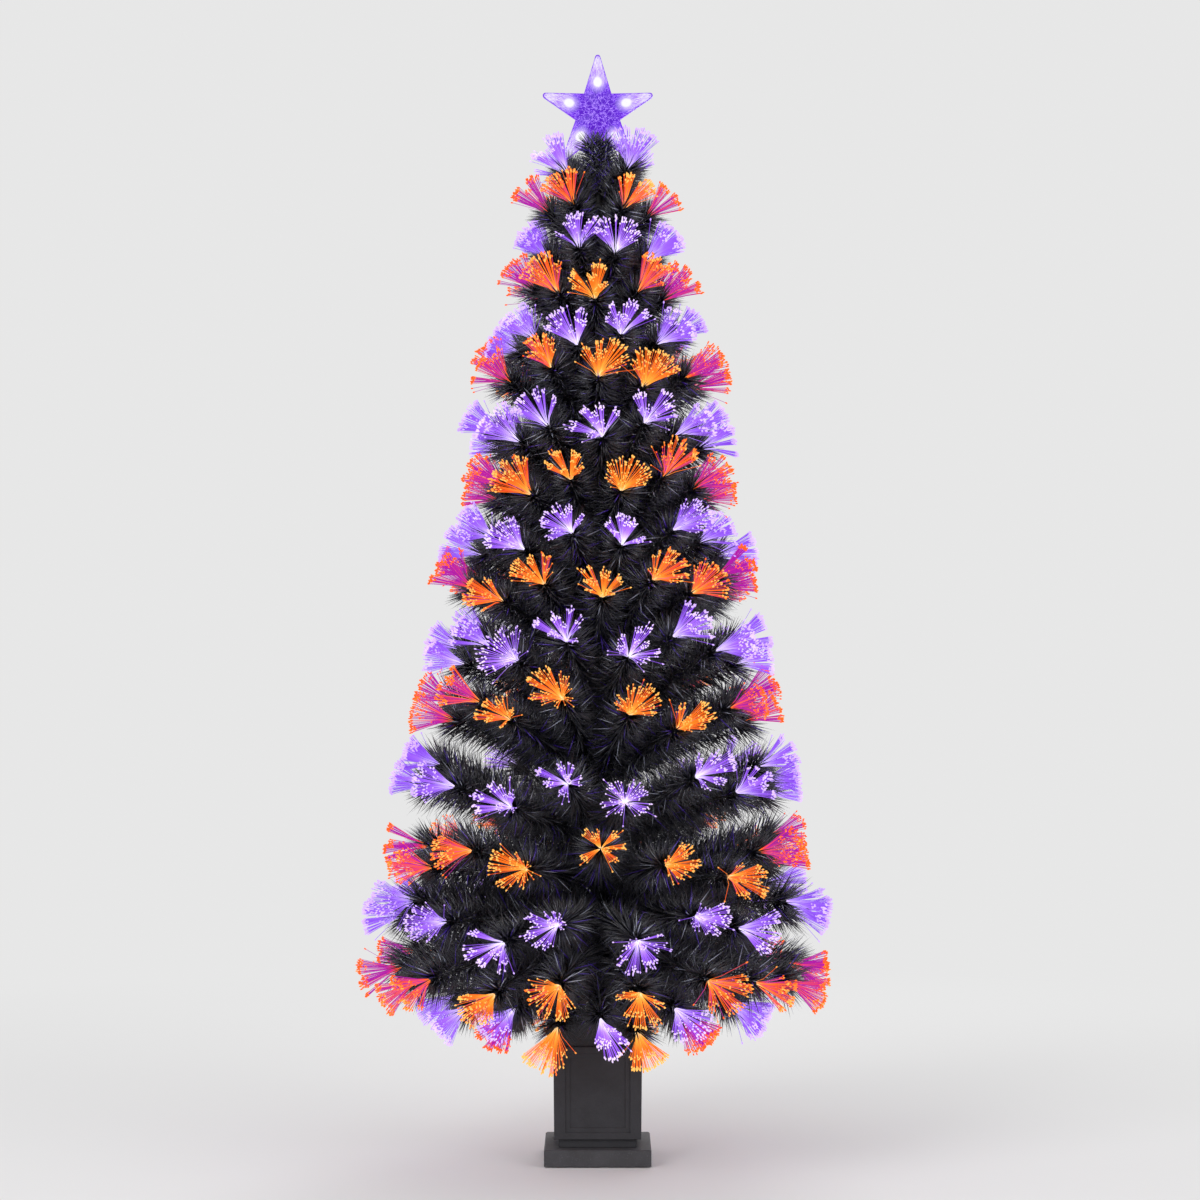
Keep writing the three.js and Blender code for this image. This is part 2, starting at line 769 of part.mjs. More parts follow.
// Pot body: neck, tapered panelled walls and cove, hollow and open at both ends
function potBody() {
  let body = squareStack(
    [
      [bodyZ, neckWidth],
      [panelFaceZ, neckWidth],
      [panelFaceZ, bodyBottomWidth],
      [coveZ, bodyTopWidth],
      [coveZ, coveWidth],
      [bodyTopZ, coveWidth],
    ],
    bodyChamfer,
  );
  const hollow = squareStack(
    [
      [bodyZ - cutOverrun, neckInner],
      [panelFaceZ + neckWall, neckInner],
      [panelFaceZ + neckWall, bottomInner],
      [coveZ - topWall, topInner],
      [coveZ, coveInner],
      [bodyTopZ + cutOverrun, coveInner],
    ],
    bodyChamfer,
  );
  body = cut(body, hollow);
  const lean = Math.atan2((bodyTopWidth - bodyBottomWidth) / 2, bodyHeight);
  const faceY = (bodyTopWidth + bodyBottomWidth) / 4;
  const middleZ = panelFaceZ + bodyHeight / 2;
  const panelWidth = bodyBottomWidth - 2 * panelMargin;
  const panelHeight = bodyHeight - 2 * panelRim;
  for (let side = 0; side < 4; side += 1) {
    for (const [width, height, depth] of [
      [panelWidth, panelHeight, panelDepth],
      [panelWidth - 2 * fieldMargin, panelHeight - 2 * fieldRim, recessDepth],
    ]) {
      const recess = new THREE.BoxGeometry(width, 2 * depth, height);
      recess.rotateX(lean);
      recess.translate(0, -faceY, middleZ);
      recess.rotateZ((side * Math.PI) / 2);
      body = cut(body, solid(recess));
    }
  }
  return shape(body);
}

// Cap slab, hollow below, with the holes for socket and jack
function potCap() {
  const slab = squareStack(
    [
      [capZ, capWidth - 2 * capEdge],
      [capZ + capEdge, capWidth],
      [capTopZ - capEdge, capWidth],
      [capTopZ, capWidth - 2 * capEdge],
    ],
    capEdge,
  );
  const hollow = squareStack(
    [
      [capZ - cutOverrun, capHollowWidth],
      [capTopZ - capTop, capHollowWidth],
    ],
    capEdge,
  );
  const socketHole = solid(rod(socketOuter + seatGap, capZ - cutOverrun, capTopZ + cutOverrun));
  const jackHole = block(
    [-jackShankHalf - seatGap, jackMiddle - jackShankDepth / 2 - seatGap, capZ - cutOverrun],
    [jackShankHalf + seatGap, jackMiddle + jackShankDepth / 2 + seatGap, capTopZ + cutOverrun],
  );
  return shape(cut(slab, hollow, socketHole, jackHole));
}

// Ballast block round the socket tube
function ballast() {
  const blockTopZ = bodyZ + ballastHeight;
  const whole = squareStack([[bodyZ, ballastWidth], [blockTopZ, ballastWidth]], capEdge);
  const socketHole = rod(socketOuter + seatGap, bodyZ - cutOverrun, blockTopZ + cutOverrun);
  return shape(cut(whole, solid(socketHole)));
}

// Trunk socket: closed tube with a welded nut for the thumbscrew
function trunkSocket() {
  const tubeShape = solid(
    turned([
      [0, socketZ],
      [socketOuter, socketZ],
      [socketOuter, socketTopZ],
      [socketInner, socketTopZ],
      [socketInner, socketZ + socketFloor],
      [0, socketZ + socketFloor],
    ]),
  );
  const nutEnd = socketOuter + nutLength;
  const nutStart = socketOuter - socketWall / 2;
  const nut = solid(barAlongX(nutRadius, nutStart, nutEnd, clampZ, leadSides));
  const hole = solid(barAlongX(clampRadius + seatGap, 0, nutEnd + cutOverrun, clampZ));
  return shape(cut(joined(tubeShape, nut), hole));
}

// Thumbscrew: plain shank, and a knob with grip grooves bored for it
const clampTipX = trunkRadius + seatGap;
const clampEndX = clampTipX + clampLength;
const knobX = clampEndX + seatGap - knobBoreDepth;

function clampShank() {
  return barAlongX(clampRadius, clampTipX, clampEndX, clampZ);
}

function clampKnob() {
  const bore = barAlongX(clampRadius + seatGap, knobX - cutOverrun, clampEndX + seatGap, clampZ);
  let knob = solid(barAlongX(knobRadius, knobX, knobX + knobThickness, clampZ, 2 * knobLobes));
  knob = cut(knob, solid(bore));
  for (let i = 0; i < knobLobes; i += 1) {
    const groove = new THREE.BoxGeometry(knobThickness + 2 * cutOverrun, 2 * knobGroove, 2 * knobGroove);
    groove.rotateX(Math.PI / 4);
    groove.translate(knobX + knobThickness / 2, 0, knobRadius);
    groove.rotateX(((i + 0.5) * 2 * Math.PI) / knobLobes);
    groove.translate(0, 0, clampZ);
    knob = cut(knob, solid(groove));
  }
  return shape(knob);
}

// Power inlet: flanged barrel with a blind bore and its centre pin
function powerInlet() {
  const boreFloor = inletFlangeHeight - inletBoreDepth;
  const profile = [
    [0, -inletLength],
    [inletBarrelRadius, -inletLength],
    [inletBarrelRadius, seatGap],
    [inletFlangeRadius, seatGap],
    [inletFlangeRadius, inletFlangeHeight],
    [inletBoreRadius, inletFlangeHeight],
    [inletBoreRadius, boreFloor],
    [inletPinRadius, boreFloor],
    [inletPinRadius, inletFlangeHeight - inletPinSetback],
    [0, inletFlangeHeight - inletPinSetback],
  ];
  return backward(turned(profile, smallSides), inletOffset);
}

// Rocker switch: frame with a pocket, and the rocker in it
const rockerPivotY = backFace + seatGap + switchBezelThickness - rockerSetback - rockerDip;

function switchFrame() {
  const x = -switchOffset;
  const front = backFace + seatGap + switchBezelThickness;
  const bezel = block(
    [x - switchBezelWidth / 2, backFace + seatGap, wallMiddleZ - switchBezelHeight / 2],
    [x + switchBezelWidth / 2, front, wallMiddleZ + switchBezelHeight / 2],
  );
  const body = block(
    [x - switchBodyWidth / 2, backFace - switchBodyDepth, wallMiddleZ - switchBodyHeight / 2],
    [x + switchBodyWidth / 2, front - switchBezelThickness / 2, wallMiddleZ + switchBodyHeight / 2],
  );
  const pocketHalf = rockerLength / 2 + rockerEndRoom;
  const pocketRise = rockerWidth / 2 + seatGap;
  const pocketFloor = rockerPivotY - rockerBelow - rockerFloorRoom;
  const pocket = block(
    [x - pocketHalf, pocketFloor, wallMiddleZ - pocketRise],
    [x + pocketHalf, front + cutOverrun, wallMiddleZ + pocketRise],
  );
  return shape(cut(joined(bezel, body), pocket));
}

function switchRocker() {
  const outline = new THREE.Shape();
  outline.moveTo(-rockerLength / 2, -rockerBelow);
  outline.lineTo(rockerLength / 2, -rockerBelow);
  outline.lineTo(rockerLength / 2, rockerAbove);
  outline.lineTo(0, rockerAbove - rockerDip);
  outline.lineTo(-rockerLength / 2, rockerAbove);
  outline.closePath();
  const rocker = new THREE.ExtrudeGeometry(outline, { depth: rockerWidth, bevelEnabled: false });
  rocker.translate(0, 0, -rockerWidth / 2);
  rocker.rotateZ(-Math.atan2(rockerDip, rockerLength / 2));
  rocker.translate(-switchOffset, rockerPivotY, wallMiddleZ);
  return rocker;
}

// Controller board on the base plate's rails
const boardZ = plateTopZ + railHeight + seatGap;

function controllerBoard() {
  const board = block(
    [-boardWidth / 2, -boardDepth / 2, boardZ],
    [boardWidth / 2, boardDepth / 2, boardZ + boardThickness],
  );
  const chips = [-1, 1].map((side) => {
    const x = (side * boardWidth) / 4;
    return block(
      [x - chipSize / 2, -chipSize / 2, boardZ + boardThickness / 2],
      [x + chipSize / 2, chipSize / 2, boardZ + boardThickness + chipHeight],
    );
  });
  return shape(joined(board, ...chips));
}

// Leads inside the pot: each starts and ends face to face with what it joins
const boardLeadZ = boardZ + boardThickness + potLeadRadius + seatGap;
const boardEdgeY = boardDepth / 2;

function potLead() {
  const rise = boardLeadZ + leadBend;
  const turnZ = capZ - leadBend;
  return lead(
    [
      [0, boardEdgeY - leadBend / 2, boardLeadZ],
      [0, boardEdgeY + leadBend / 2, boardLeadZ],
      [0, potLeadOffset - leadBend, boardLeadZ],
      [0, potLeadOffset - leadBend / 6, rise - leadBend / 2],
      [0, potLeadOffset, rise],
      [0, potLeadOffset, (rise + turnZ) / 2],
      [0, potLeadOffset, turnZ - 2 * leadBend],
      [0, potLeadOffset - leadBend, turnZ - leadBend],
      [0, jackMiddle, turnZ],
      [0, jackMiddle, jackBottomZ - seatGap],
    ],
    potLeadRadius,
  );
}

function switchLead() {
  const startY = backFace - switchBodyDepth - seatGap;
  const endX = -boardWidth / 2 + potLeadRadius;
  return lead(
    [
      [-switchOffset, startY, wallMiddleZ],
      [-switchOffset, startY - leadBend, wallMiddleZ],
      [endX, boardEdgeY + leadBend, boardLeadZ],
      [endX, boardEdgeY - leadBend / 2, boardLeadZ],
    ],
    potLeadRadius,
  );
}

function inletLead() {
  const startY = backFace - inletLength - seatGap;
  const endX = boardWidth / 2 - potLeadRadius;
  return lead(
    [
      [inletOffset, startY, wallMiddleZ],
      [inletOffset, startY - leadBend, wallMiddleZ],
      [endX, boardEdgeY + leadBend, boardLeadZ],
      [endX, boardEdgeY - leadBend / 2, boardLeadZ],
    ],
    potLeadRadius,
  );
}

// Jack on the cap and the tree's plug in it
const jackMiddle = (jackInner + plugOuter) / 2;
const jackShankHalf = plugHalfWidth - jackShankMargin;
const jackShankDepth = plugOuter - jackInner - 2 * jackShankMargin;
const jackBottomZ = capTopZ - capTop - jackFlange;
const jackTopZ = capTopZ + seatGap + jackFlange;
const tongueHalf = tongueWidth / 2;

function socketPocket(topZ, middleY) {
  const half = tongueHalf + seatGap;
  const deep = tongueDepth / 2 + seatGap;
  return block(
    [-half, middleY - deep, topZ - tongueLength - seatGap],
    [half, middleY + deep, topZ + cutOverrun],
  );
}

function baseJack() {
  const flangeHalf = plugHalfWidth + jackFlangeMargin;
  const flange = block(
    [-flangeHalf, jackInner - jackFlangeMargin, capTopZ + seatGap],
    [flangeHalf, plugOuter + jackFlangeMargin, jackTopZ],
  );
  const shank = block(
    [-jackShankHalf, jackMiddle - jackShankDepth / 2, jackBottomZ],
    [jackShankHalf, jackMiddle + jackShankDepth / 2, jackTopZ - jackFlange / 2],
  );
  return shape(cut(joined(flange, shank), socketPocket(jackTopZ, jackMiddle)));
}

function plugOn(bottomZ, topZ, innerY, middleY) {
  const head = block([-plugHalfWidth, innerY, bottomZ], [plugHalfWidth, plugOuter, topZ]);
  const tongue = block(
    [-tongueHalf, middleY - tongueDepth / 2, bottomZ - tongueLength],
    [tongueHalf, middleY + tongueDepth / 2, (bottomZ + topZ) / 2],
  );
  return shape(joined(head, tongue));
}

// Plug and socket of the lights beside the trunk's joint
const treePlugZ = jackTopZ + seatGap;
const treePlugTopZ = treePlugZ + plugHeight;
const jointSocketTopZ = jointZ - seatGap;
const jointPlugTopZ = jointZ + plugHeight;
const jointPlugInner = trunkRadius + seatGap;
const jointPlugMiddle = (jointPlugInner + plugOuter) / 2;

function jointSocket() {
  const body = block(
    [-plugHalfWidth, jointPlugInner, jointSocketTopZ - plugHeight],
    [plugHalfWidth, plugOuter, jointSocketTopZ],
  );
  return shape(cut(body, socketPocket(jointSocketTopZ, jointPlugMiddle)));
}

function treePlug() {
  return plugOn(treePlugZ, treePlugTopZ, jackInner, jackMiddle);
}

function jointPlug() {
  return plugOn(jointZ, jointPlugTopZ, jointPlugInner, jointPlugMiddle);
}

// Trunk sections and the cap in the trunk's foot
function lowerTrunk() {
  return tube(trunkInner, trunkRadius, trunkZ + trunkFootFloor + seatGap, jointZ);
}

function upperTrunk() {
  return turned([
    [spigotInner, jointZ - spigotLength],
    [spigotRadius, jointZ - spigotLength],
    [spigotRadius, jointZ + seatGap],
    [trunkRadius, jointZ + seatGap],
    [trunkRadius, jointZ + beadHeight],
    [spigotRadius, jointZ + beadHeight],
    [spigotRadius, trunkTopZ],
    [spigotInner, trunkTopZ],
  ]);
}

function trunkFoot() {
  return turned([
    [0, trunkZ],
    [trunkRadius, trunkZ],
    [trunkRadius, trunkZ + trunkFootFloor],
    [trunkInner - seatGap, trunkZ + trunkFootFloor],
    [trunkInner - seatGap, trunkZ + trunkFootHeight],
    [0, trunkZ + trunkFootHeight],
  ]);
}

// Pin in the trunk's top, and the star's stem over it
function topPin() {
  return turned([
    [0, trunkTopZ - pinPlugDepth],
    [spigotInner - seatGap, trunkTopZ - pinPlugDepth],
    [spigotInner - seatGap, flangeZ],
    [spigotRadius, flangeZ],
    [spigotRadius, flangeZ + pinFlange],
    [pinRadius, flangeZ + pinFlange],
    [pinRadius, pinTopZ],
    [0, pinTopZ],
  ]);
}

function starStem() {
  const bottom = flangeZ + pinFlange + seatGap;
  return turned([
    [0, pinTopZ + seatGap],
    [stemInner, pinTopZ + seatGap],
    [stemInner, bottom],
    [stemOuter, bottom],
    [stemOuter, stemTopZ],
    [0, stemTopZ],
  ]);
}

// Leader tuft: shuttlecock of needles, slotted for the star
function leaderTuft() {
  const bottom = trunkTopZ - tuftDrop;
  const inner = spigotRadius + seatGap;
  const outline = tuftShares.map(({ radiusShare, heightShare }) => [
    tuftNeckRadius + (tuftRadius - tuftNeckRadius) * radiusShare,
    bottom + tuftHeight * heightShare,
  ]);
  const flare = solid(turned([[inner, bottom], ...outline, [inner, bottom + tuftHeight]]));
  const slot = block(
    [-tuftRadius - cutOverrun, -tuftSlotHalf, bottom + tuftSlotFloor],
    [tuftRadius + cutOverrun, tuftSlotHalf, bottom + tuftHeight + cutOverrun],
  );
  return shape(cut(flare, slot));
}

// Star: one half shell on the front (side -1) or the back (side 1) of its seam
function starLoop(body, scale, tipHalf, y) {
  const loop = [];
  for (let i = 0; i < starArms; i += 1) {
    const tip = Math.PI / 2 + (i * 2 * Math.PI) / starArms;
    const notch = tip + Math.PI / starArms;
    for (const lateral of [tipHalf, -tipHalf]) {
      const x = starRadius * scale * Math.cos(tip) + lateral * Math.sin(tip);
      const z = starRadius * scale * Math.sin(tip) - lateral * Math.cos(tip);
      loop.push(body.point(new THREE.Vector3(x, y, z)));
    }
    const inner = starInnerRadius * scale;
    loop.push(body.point(new THREE.Vector3(inner * Math.cos(notch), y, inner * Math.sin(notch))));
  }
  return loop;
}

function halfStar(inset) {
  const body = new Polyhedron();
  const scale = 1 - inset / starInnerRadius;
  const tipHalf = Math.max(starTipHalf - inset, starTipHalf / 3);
  const seam = starLoop(body, scale, tipHalf, inset > 0 ? cutOverrun : 0);
  const rim = starLoop(body, scale, tipHalf, -(starRimHalf - inset));
  const peak = body.point(new THREE.Vector3(0, -(starHalfThickness - inset), 0));
  const middle = body.point(new THREE.Vector3(0, inset > 0 ? cutOverrun : 0, 0));
  body.capAbout([...seam].reverse(), middle);
  body.wall(seam, rim);
  body.capAbout(rim, peak);
  return solid(body.geometry());
}

function starShell(side) {
  const shell = cut(halfStar(0), halfStar(starWall));
  const geometry = shape(shell);
  geometry.translate(0, -starSeam, starZ);
  if (side > 0) geometry.rotateZ(Math.PI);
  const stemHole = solid(rod(stemOuter + seatGap, trunkTopZ, stemTopZ + seatGap));
  return shape(cut(solid(geometry), stemHole));
}

// Star lights: hub over the stem with a wire and an LED into each arm
function starLights() {
  const hubBottom = stemTopZ + 2 * seatGap;
  let whole = block(
    [-starHubHalf, -starHubHalf, hubBottom],
    [starHubHalf, starHubHalf, starZ + starHubHalf],
  );
  for (let i = 0; i < starArms; i += 1) {
    const wire = new THREE.BoxGeometry(starLedRadius, 2 * starWireHalf, 2 * starWireHalf);
    wire.translate(starLedRadius / 2, 0, 0);
    const bulb = new THREE.BoxGeometry(2 * starLedHalf, 2 * starLedHalf, 2 * starLedHalf);
    bulb.translate(starLedRadius, 0, 0);
    for (const geometry of [wire, bulb]) {
      geometry.rotateY(-(Math.PI / 2 + (i * 2 * Math.PI) / starArms));
      geometry.translate(0, 0, starZ);
      whole = joined(whole, solid(geometry));
    }
  }
  return shape(whole);
}

// Pot pieces
piece(potGroup, "base_plate", basePlate(), innerPlastic);
footPlaces.forEach(([x, y], i) => {
  const foot = rod(footRadius, floorZ, floorZ + footHeight, smallSides);
  piece(potGroup, `rubber_foot_${i + 1}`, at(foot, x, y), rubber);
});
screwPlaces.forEach(([x, y], i) => {
  piece(potGroup, `base_screw_${i + 1}`, at(screw(), x, y), bareSteel);
});
piece(potGroup, "pot_plinth", plinth(), potPlastic);
piece(potGroup, "pot_body", potBody(), potPlastic);
piece(potGroup, "pot_cap", potCap(), potPlastic);
piece(potGroup, "ballast_block", ballast(), concrete);
piece(potGroup, "trunk_socket", trunkSocket(), steelPaint);
piece(potGroup, "power_inlet", powerInlet(), innerPlastic);
piece(potGroup, "switch_frame", switchFrame(), innerPlastic);
piece(potGroup, "switch_rocker", switchRocker(), glossPlastic);
piece(potGroup, "controller_board", controllerBoard(), boardGreen);
piece(potGroup, "pot_lead", potLead(), rubber);
piece(potGroup, "switch_lead", switchLead(), rubber);
piece(potGroup, "inlet_lead", inletLead(), rubber);
piece(potGroup, "base_jack", baseJack(), innerPlastic);
piece(potGroup, "clamp_screw", clampShank(), bareSteel);
piece(potGroup, "clamp_knob", clampKnob(), glossPlastic);

// Trunk pieces
piece(lowerGroup, "trunk_foot", trunkFoot(), innerPlastic);
piece(lowerGroup, "trunk_lower", lowerTrunk(), steelPaint);
piece(lowerGroup, "tree_plug", treePlug(), innerPlastic);
piece(lowerGroup, "joint_socket", jointSocket(), innerPlastic);
piece(upperGroup, "joint_plug", jointPlug(), innerPlastic);
piece(upperGroup, "trunk_upper", upperTrunk(), steelPaint);
piece(upperGroup, "top_pin", topPin(), innerPlastic);
piece(upperGroup, "leader_tuft", leaderTuft(), tinsel);

// Boughs and light strings, by section
rows.forEach((row, i) => {
  const group = row.collarZ > jointZ ? upperGroup : lowerGroup;
  piece(group, `bough_ring_${String(i + 1).padStart(2, "0")}`, boughRing(row), tinsel);
});
for (const colour of ["violet", "orange"]) {
  const ofColour = rows.filter((row) => row.colour === colour);
  const above = ofColour.filter((row) => row.collarZ > jointZ);
  const below = ofColour.filter((row) => row.collarZ <= jointZ);
  const upper = lightString(colour, above, jointPlugTopZ + seatGap);
  const lower = lightString(colour, below, treePlugTopZ + seatGap);
  piece(upperGroup, `${colour}_string_upper`, upper, fibreColours[colour]);
  piece(lowerGroup, `${colour}_string_lower`, lower, fibreColours[colour]);
}

// Star pieces
piece(starGroup, "star_front", starShell(-1), starClear);
piece(starGroup, "star_back", starShell(1), starClear);
piece(starGroup, "star_lights", starLights(), ledWhite);
piece(starGroup, "star_stem", starStem(), innerPlastic);

export default tree;
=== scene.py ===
"""A free-standing fibre-optic Christmas tree, laid out as an add-on: one operator for each group of pieces.
"""
import json
import math
from typing import NamedTuple

import bmesh
import bpy
import numpy as np
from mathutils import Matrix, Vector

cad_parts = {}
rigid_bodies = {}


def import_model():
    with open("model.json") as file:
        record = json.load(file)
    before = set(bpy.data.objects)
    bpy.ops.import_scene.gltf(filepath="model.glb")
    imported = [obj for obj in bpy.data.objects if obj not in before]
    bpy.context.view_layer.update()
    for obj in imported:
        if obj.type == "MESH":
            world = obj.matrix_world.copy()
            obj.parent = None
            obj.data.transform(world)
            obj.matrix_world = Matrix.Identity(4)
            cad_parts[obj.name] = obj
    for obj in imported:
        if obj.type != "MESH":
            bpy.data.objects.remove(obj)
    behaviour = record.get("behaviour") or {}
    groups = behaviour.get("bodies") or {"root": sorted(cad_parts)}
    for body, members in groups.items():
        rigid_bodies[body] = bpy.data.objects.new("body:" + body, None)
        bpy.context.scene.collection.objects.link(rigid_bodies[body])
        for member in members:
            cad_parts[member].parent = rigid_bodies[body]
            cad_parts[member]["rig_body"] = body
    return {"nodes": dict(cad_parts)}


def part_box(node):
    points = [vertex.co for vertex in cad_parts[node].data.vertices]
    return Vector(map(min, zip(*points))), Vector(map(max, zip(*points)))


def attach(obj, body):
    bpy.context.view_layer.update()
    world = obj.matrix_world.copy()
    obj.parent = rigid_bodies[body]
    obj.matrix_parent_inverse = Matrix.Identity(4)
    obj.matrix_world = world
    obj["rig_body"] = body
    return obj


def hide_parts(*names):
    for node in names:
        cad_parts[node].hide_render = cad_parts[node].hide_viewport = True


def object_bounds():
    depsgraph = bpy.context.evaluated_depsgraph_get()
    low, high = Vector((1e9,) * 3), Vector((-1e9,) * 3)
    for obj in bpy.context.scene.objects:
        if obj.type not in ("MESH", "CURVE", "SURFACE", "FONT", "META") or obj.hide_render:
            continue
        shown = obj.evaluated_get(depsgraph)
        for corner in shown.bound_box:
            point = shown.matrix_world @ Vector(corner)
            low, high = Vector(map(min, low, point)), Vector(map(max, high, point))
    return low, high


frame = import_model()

packed_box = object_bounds()

bl_info = {
    "name": "Fibre-Optic Tree",
    "version": (1, 0, 0),
    "blender": (4, 5, 0),
    "location": "3D View > Sidebar > Tree",
    "description": "Tinsel boughs, lit fibre sprays, panelled pot and lit star round the packed tree",
    "category": "Object",
}

MM = 0.001
GOLDEN_ANGLE = math.pi * (3 - math.sqrt(5))

# Rows from the top down: colour, boughs, collar and root heights as shares of the foliage's height, and root
# radius as a share of the widest
ROW_SHARES = (
    ("violet", 4, 0.961, 1.0, 0.193),
    ("orange", 6, 0.907, 0.954, 0.233),
    ("violet", 8, 0.85, 0.902, 0.258),
    ("orange", 9, 0.796, 0.856, 0.311),
    ("violet", 10, 0.739, 0.801, 0.379),
    ("orange", 11, 0.684, 0.758, 0.46),
    ("violet", 13, 0.619, 0.694, 0.506),
    ("orange", 14, 0.557, 0.634, 0.522),
    ("violet", 14, 0.494, 0.573, 0.581),
    ("orange", 15, 0.435, 0.516, 0.63),
    ("violet", 16, 0.366, 0.446, 0.699),
    ("orange", 16, 0.298, 0.377, 0.745),
    ("violet", 18, 0.226, 0.296, 0.87),
    ("orange", 17, 0.176, 0.215, 0.907),
    ("violet", 18, 0.14, 0.146, 0.957),
    ("orange", 18, 0.109, 0.076, 1.0),
    ("violet", 11, 0.084, 0.041, 0.73),
    ("orange", 8, 0.062, 0.019, 0.466),
)
JOINT_SHARE = 0.589
STRIDE_SHARES = {"azimuth": 0.618034, "reach": 0.754878, "height": 0.569840, "roll": 0.414214}
BACK_GAP_SHARE = 0.5
AZIMUTH_SCATTER_SHARE = 0.1
REACH_SCATTER_SHARE = 0.05
HEIGHT_SCATTER_SHARE = 0.12
ROW_GAP_SHARE = 0.3
BEND_SHARE = 0.6

# Trunk, collars and holders, as the packed part has them
TRUNK_RADIUS = 12.5 * MM
SPIGOT_RADIUS = 11 * MM
SEAT_GAP = 0.3 * MM
COLLAR_WALL = 2.5 * MM
COLLAR_HEIGHT = 12 * MM
RING_DROP = 3 * MM
RING_WIRE = 1.2 * MM
LEAD_WIRE = 0.8 * MM
MAIN_WIRE = 0.9 * MM
HOLDER_LENGTH = 9 * MM
MAIN_RADIUS = 34 * MM
MAIN_OFFSET = 1.2 * MM


class FoliageSettings(bpy.types.PropertyGroup):
    """Sizes and colours of the tinsel boughs"""

    base: bpy.props.FloatProperty(
        name="Base", description="Height from which the rows are spread", default=203 * MM, unit="LENGTH"
    )
    height: bpy.props.FloatProperty(
        name="Height", description="Height over which the rows are spread", default=1400 * MM, unit="LENGTH"
    )
    widest: bpy.props.FloatProperty(
        name="Widest row", description="Radius of the widest row's fibre roots",
        default=322 * MM, unit="LENGTH",
    )
    needles: bpy.props.IntProperty(name="Needles", description="Film needles on one bough", default=800)
    needle_length: bpy.props.FloatProperty(
        name="Needle length", description="Length of a full needle", default=49 * MM, unit="LENGTH"
    )
    needle_width: bpy.props.FloatProperty(
        name="Needle width", description="Width of the film a needle is cut from",
        default=2.2 * MM, unit="LENGTH",
    )
    film: bpy.props.FloatVectorProperty(
        name="Film", description="Dark film", subtype="COLOR", size=4, default=(0.012, 0.013, 0.02, 1)
    )
    # Painted highlight: the few pale needles stand for reflections on the dark film
    painted_highlight: bpy.props.FloatVectorProperty(
        name="Painted highlight face", description="The few needles with a pale face", subtype="COLOR", size=4,
        default=(0.42, 0.45, 0.55, 1),
    )


class FibreSettings(bpy.types.PropertyGroup):
    """Sizes and colours of the lit fibre sprays"""

    strands: bpy.props.IntProperty(name="Strands", description="Fibres in one spray", default=100)
    length: bpy.props.FloatProperty(
        name="Length", description="Length of a fibre past its holder", default=73 * MM, unit="LENGTH"
    )
    radius: bpy.props.FloatProperty(
        name="Radius", description="Radius of one fibre", default=0.4 * MM, unit="LENGTH"
    )
    bead: bpy.props.FloatProperty(
        name="Tip radius", description="Radius of the bright tip", default=1.6 * MM, unit="LENGTH"
    )
    fan: bpy.props.FloatProperty(
        name="Fan", description="Half angle of a spray's fan", default=math.radians(42), unit="ROTATION"
    )
    depth: bpy.props.FloatProperty(
        name="Depth", description="Half angle of a spray across its fan",
        default=math.radians(30), unit="ROTATION",
    )
    violet: bpy.props.FloatVectorProperty(
        name="Violet", description="Lit violet fibre", subtype="COLOR", size=4, default=(0.24, 0.05, 1, 1)
    )
    orange: bpy.props.FloatVectorProperty(
        name="Orange", description="Lit orange fibre", subtype="COLOR", size=4, default=(1, 0.17, 0.012, 1)
    )
    # Painted light: violet light that orange fibres catch from neighbouring sprays, painted into their dim
    # ramp
    painted_violet_on_orange: bpy.props.FloatVectorProperty(
        name="Magenta", description="Orange fibre that catches violet", subtype="COLOR", size=4,
        default=(0.3, 0.002, 0.33, 1),
    )


class PotSettings(bpy.types.PropertyGroup):
    """Colours and grain of the pot's mouldings"""

    moulding: bpy.props.FloatVectorProperty(
        name="Moulding", description="Body and cap", subtype="COLOR", size=4, default=(0.023, 0.023, 0.028, 1)
    )
    plinth: bpy.props.FloatVectorProperty(
        name="Plinth", description="Paler, speckled plinth", subtype="COLOR", size=4,
        default=(0.044, 0.044, 0.049, 1),
    )
    edge: bpy.props.FloatProperty(
        name="Edge", description="Radius of the mouldings' edges", default=0.6 * MM, unit="LENGTH"
    )


class StarSettings(bpy.types.PropertyGroup):
    """Sizes and colours of the lit star"""

    radius: bpy.props.FloatProperty(
        name="Radius", description="Centre to an arm's tip", default=94 * MM, unit="LENGTH"
    )
    notch: bpy.props.FloatProperty(
        name="Notch radius", description="Centre to a notch", default=38 * MM, unit="LENGTH"
    )
    peak: bpy.props.FloatProperty(
        name="Peak", description="Half thickness at the centre", default=13 * MM, unit="LENGTH"
    )
    rim: bpy.props.FloatProperty(
        name="Rim", description="Half thickness at the rim", default=4 * MM, unit="LENGTH"
    )
    dimple: bpy.props.FloatProperty(
        name="Dimple", description="Depth of the moulded dimples", default=0.55 * MM, unit="LENGTH"
    )
    glow: bpy.props.FloatVectorProperty(
        name="Glow", description="Lit moulding", subtype="COLOR", size=4, default=(0.17, 0.015, 0.95, 1)
    )


class StageSettings(bpy.types.PropertyGroup):
    """Floor, lights and camera"""

    floor: bpy.props.FloatVectorProperty(
        name="Floor", description="Pale floor", subtype="COLOR", size=4, default=(0.8, 0.8, 0.8, 1)
    )
    distance: bpy.props.FloatProperty(
        name="Distance", description="Camera to trunk", default=5.0, unit="LENGTH"
    )
    frame_width: bpy.props.FloatProperty(
        name="Frame width", description="Width of the view at the trunk", default=1.958, unit="LENGTH"
    )
    eye: bpy.props.FloatProperty(
        name="Eye height", description="Height of the camera and its aim", default=0.909, unit="LENGTH"
    )
    aside: bpy.props.FloatProperty(
        name="Aside", description="Camera's shift to the right", default=3.7 * MM, unit="LENGTH"
    )


def settings(group):
    return getattr(bpy.context.scene, "fibre_tree_" + group)


def placed(name, data):
    """New object of the data in the scene."""
    item = bpy.data.objects.new(name, data)
    bpy.context.scene.collection.objects.link(item)
    return item


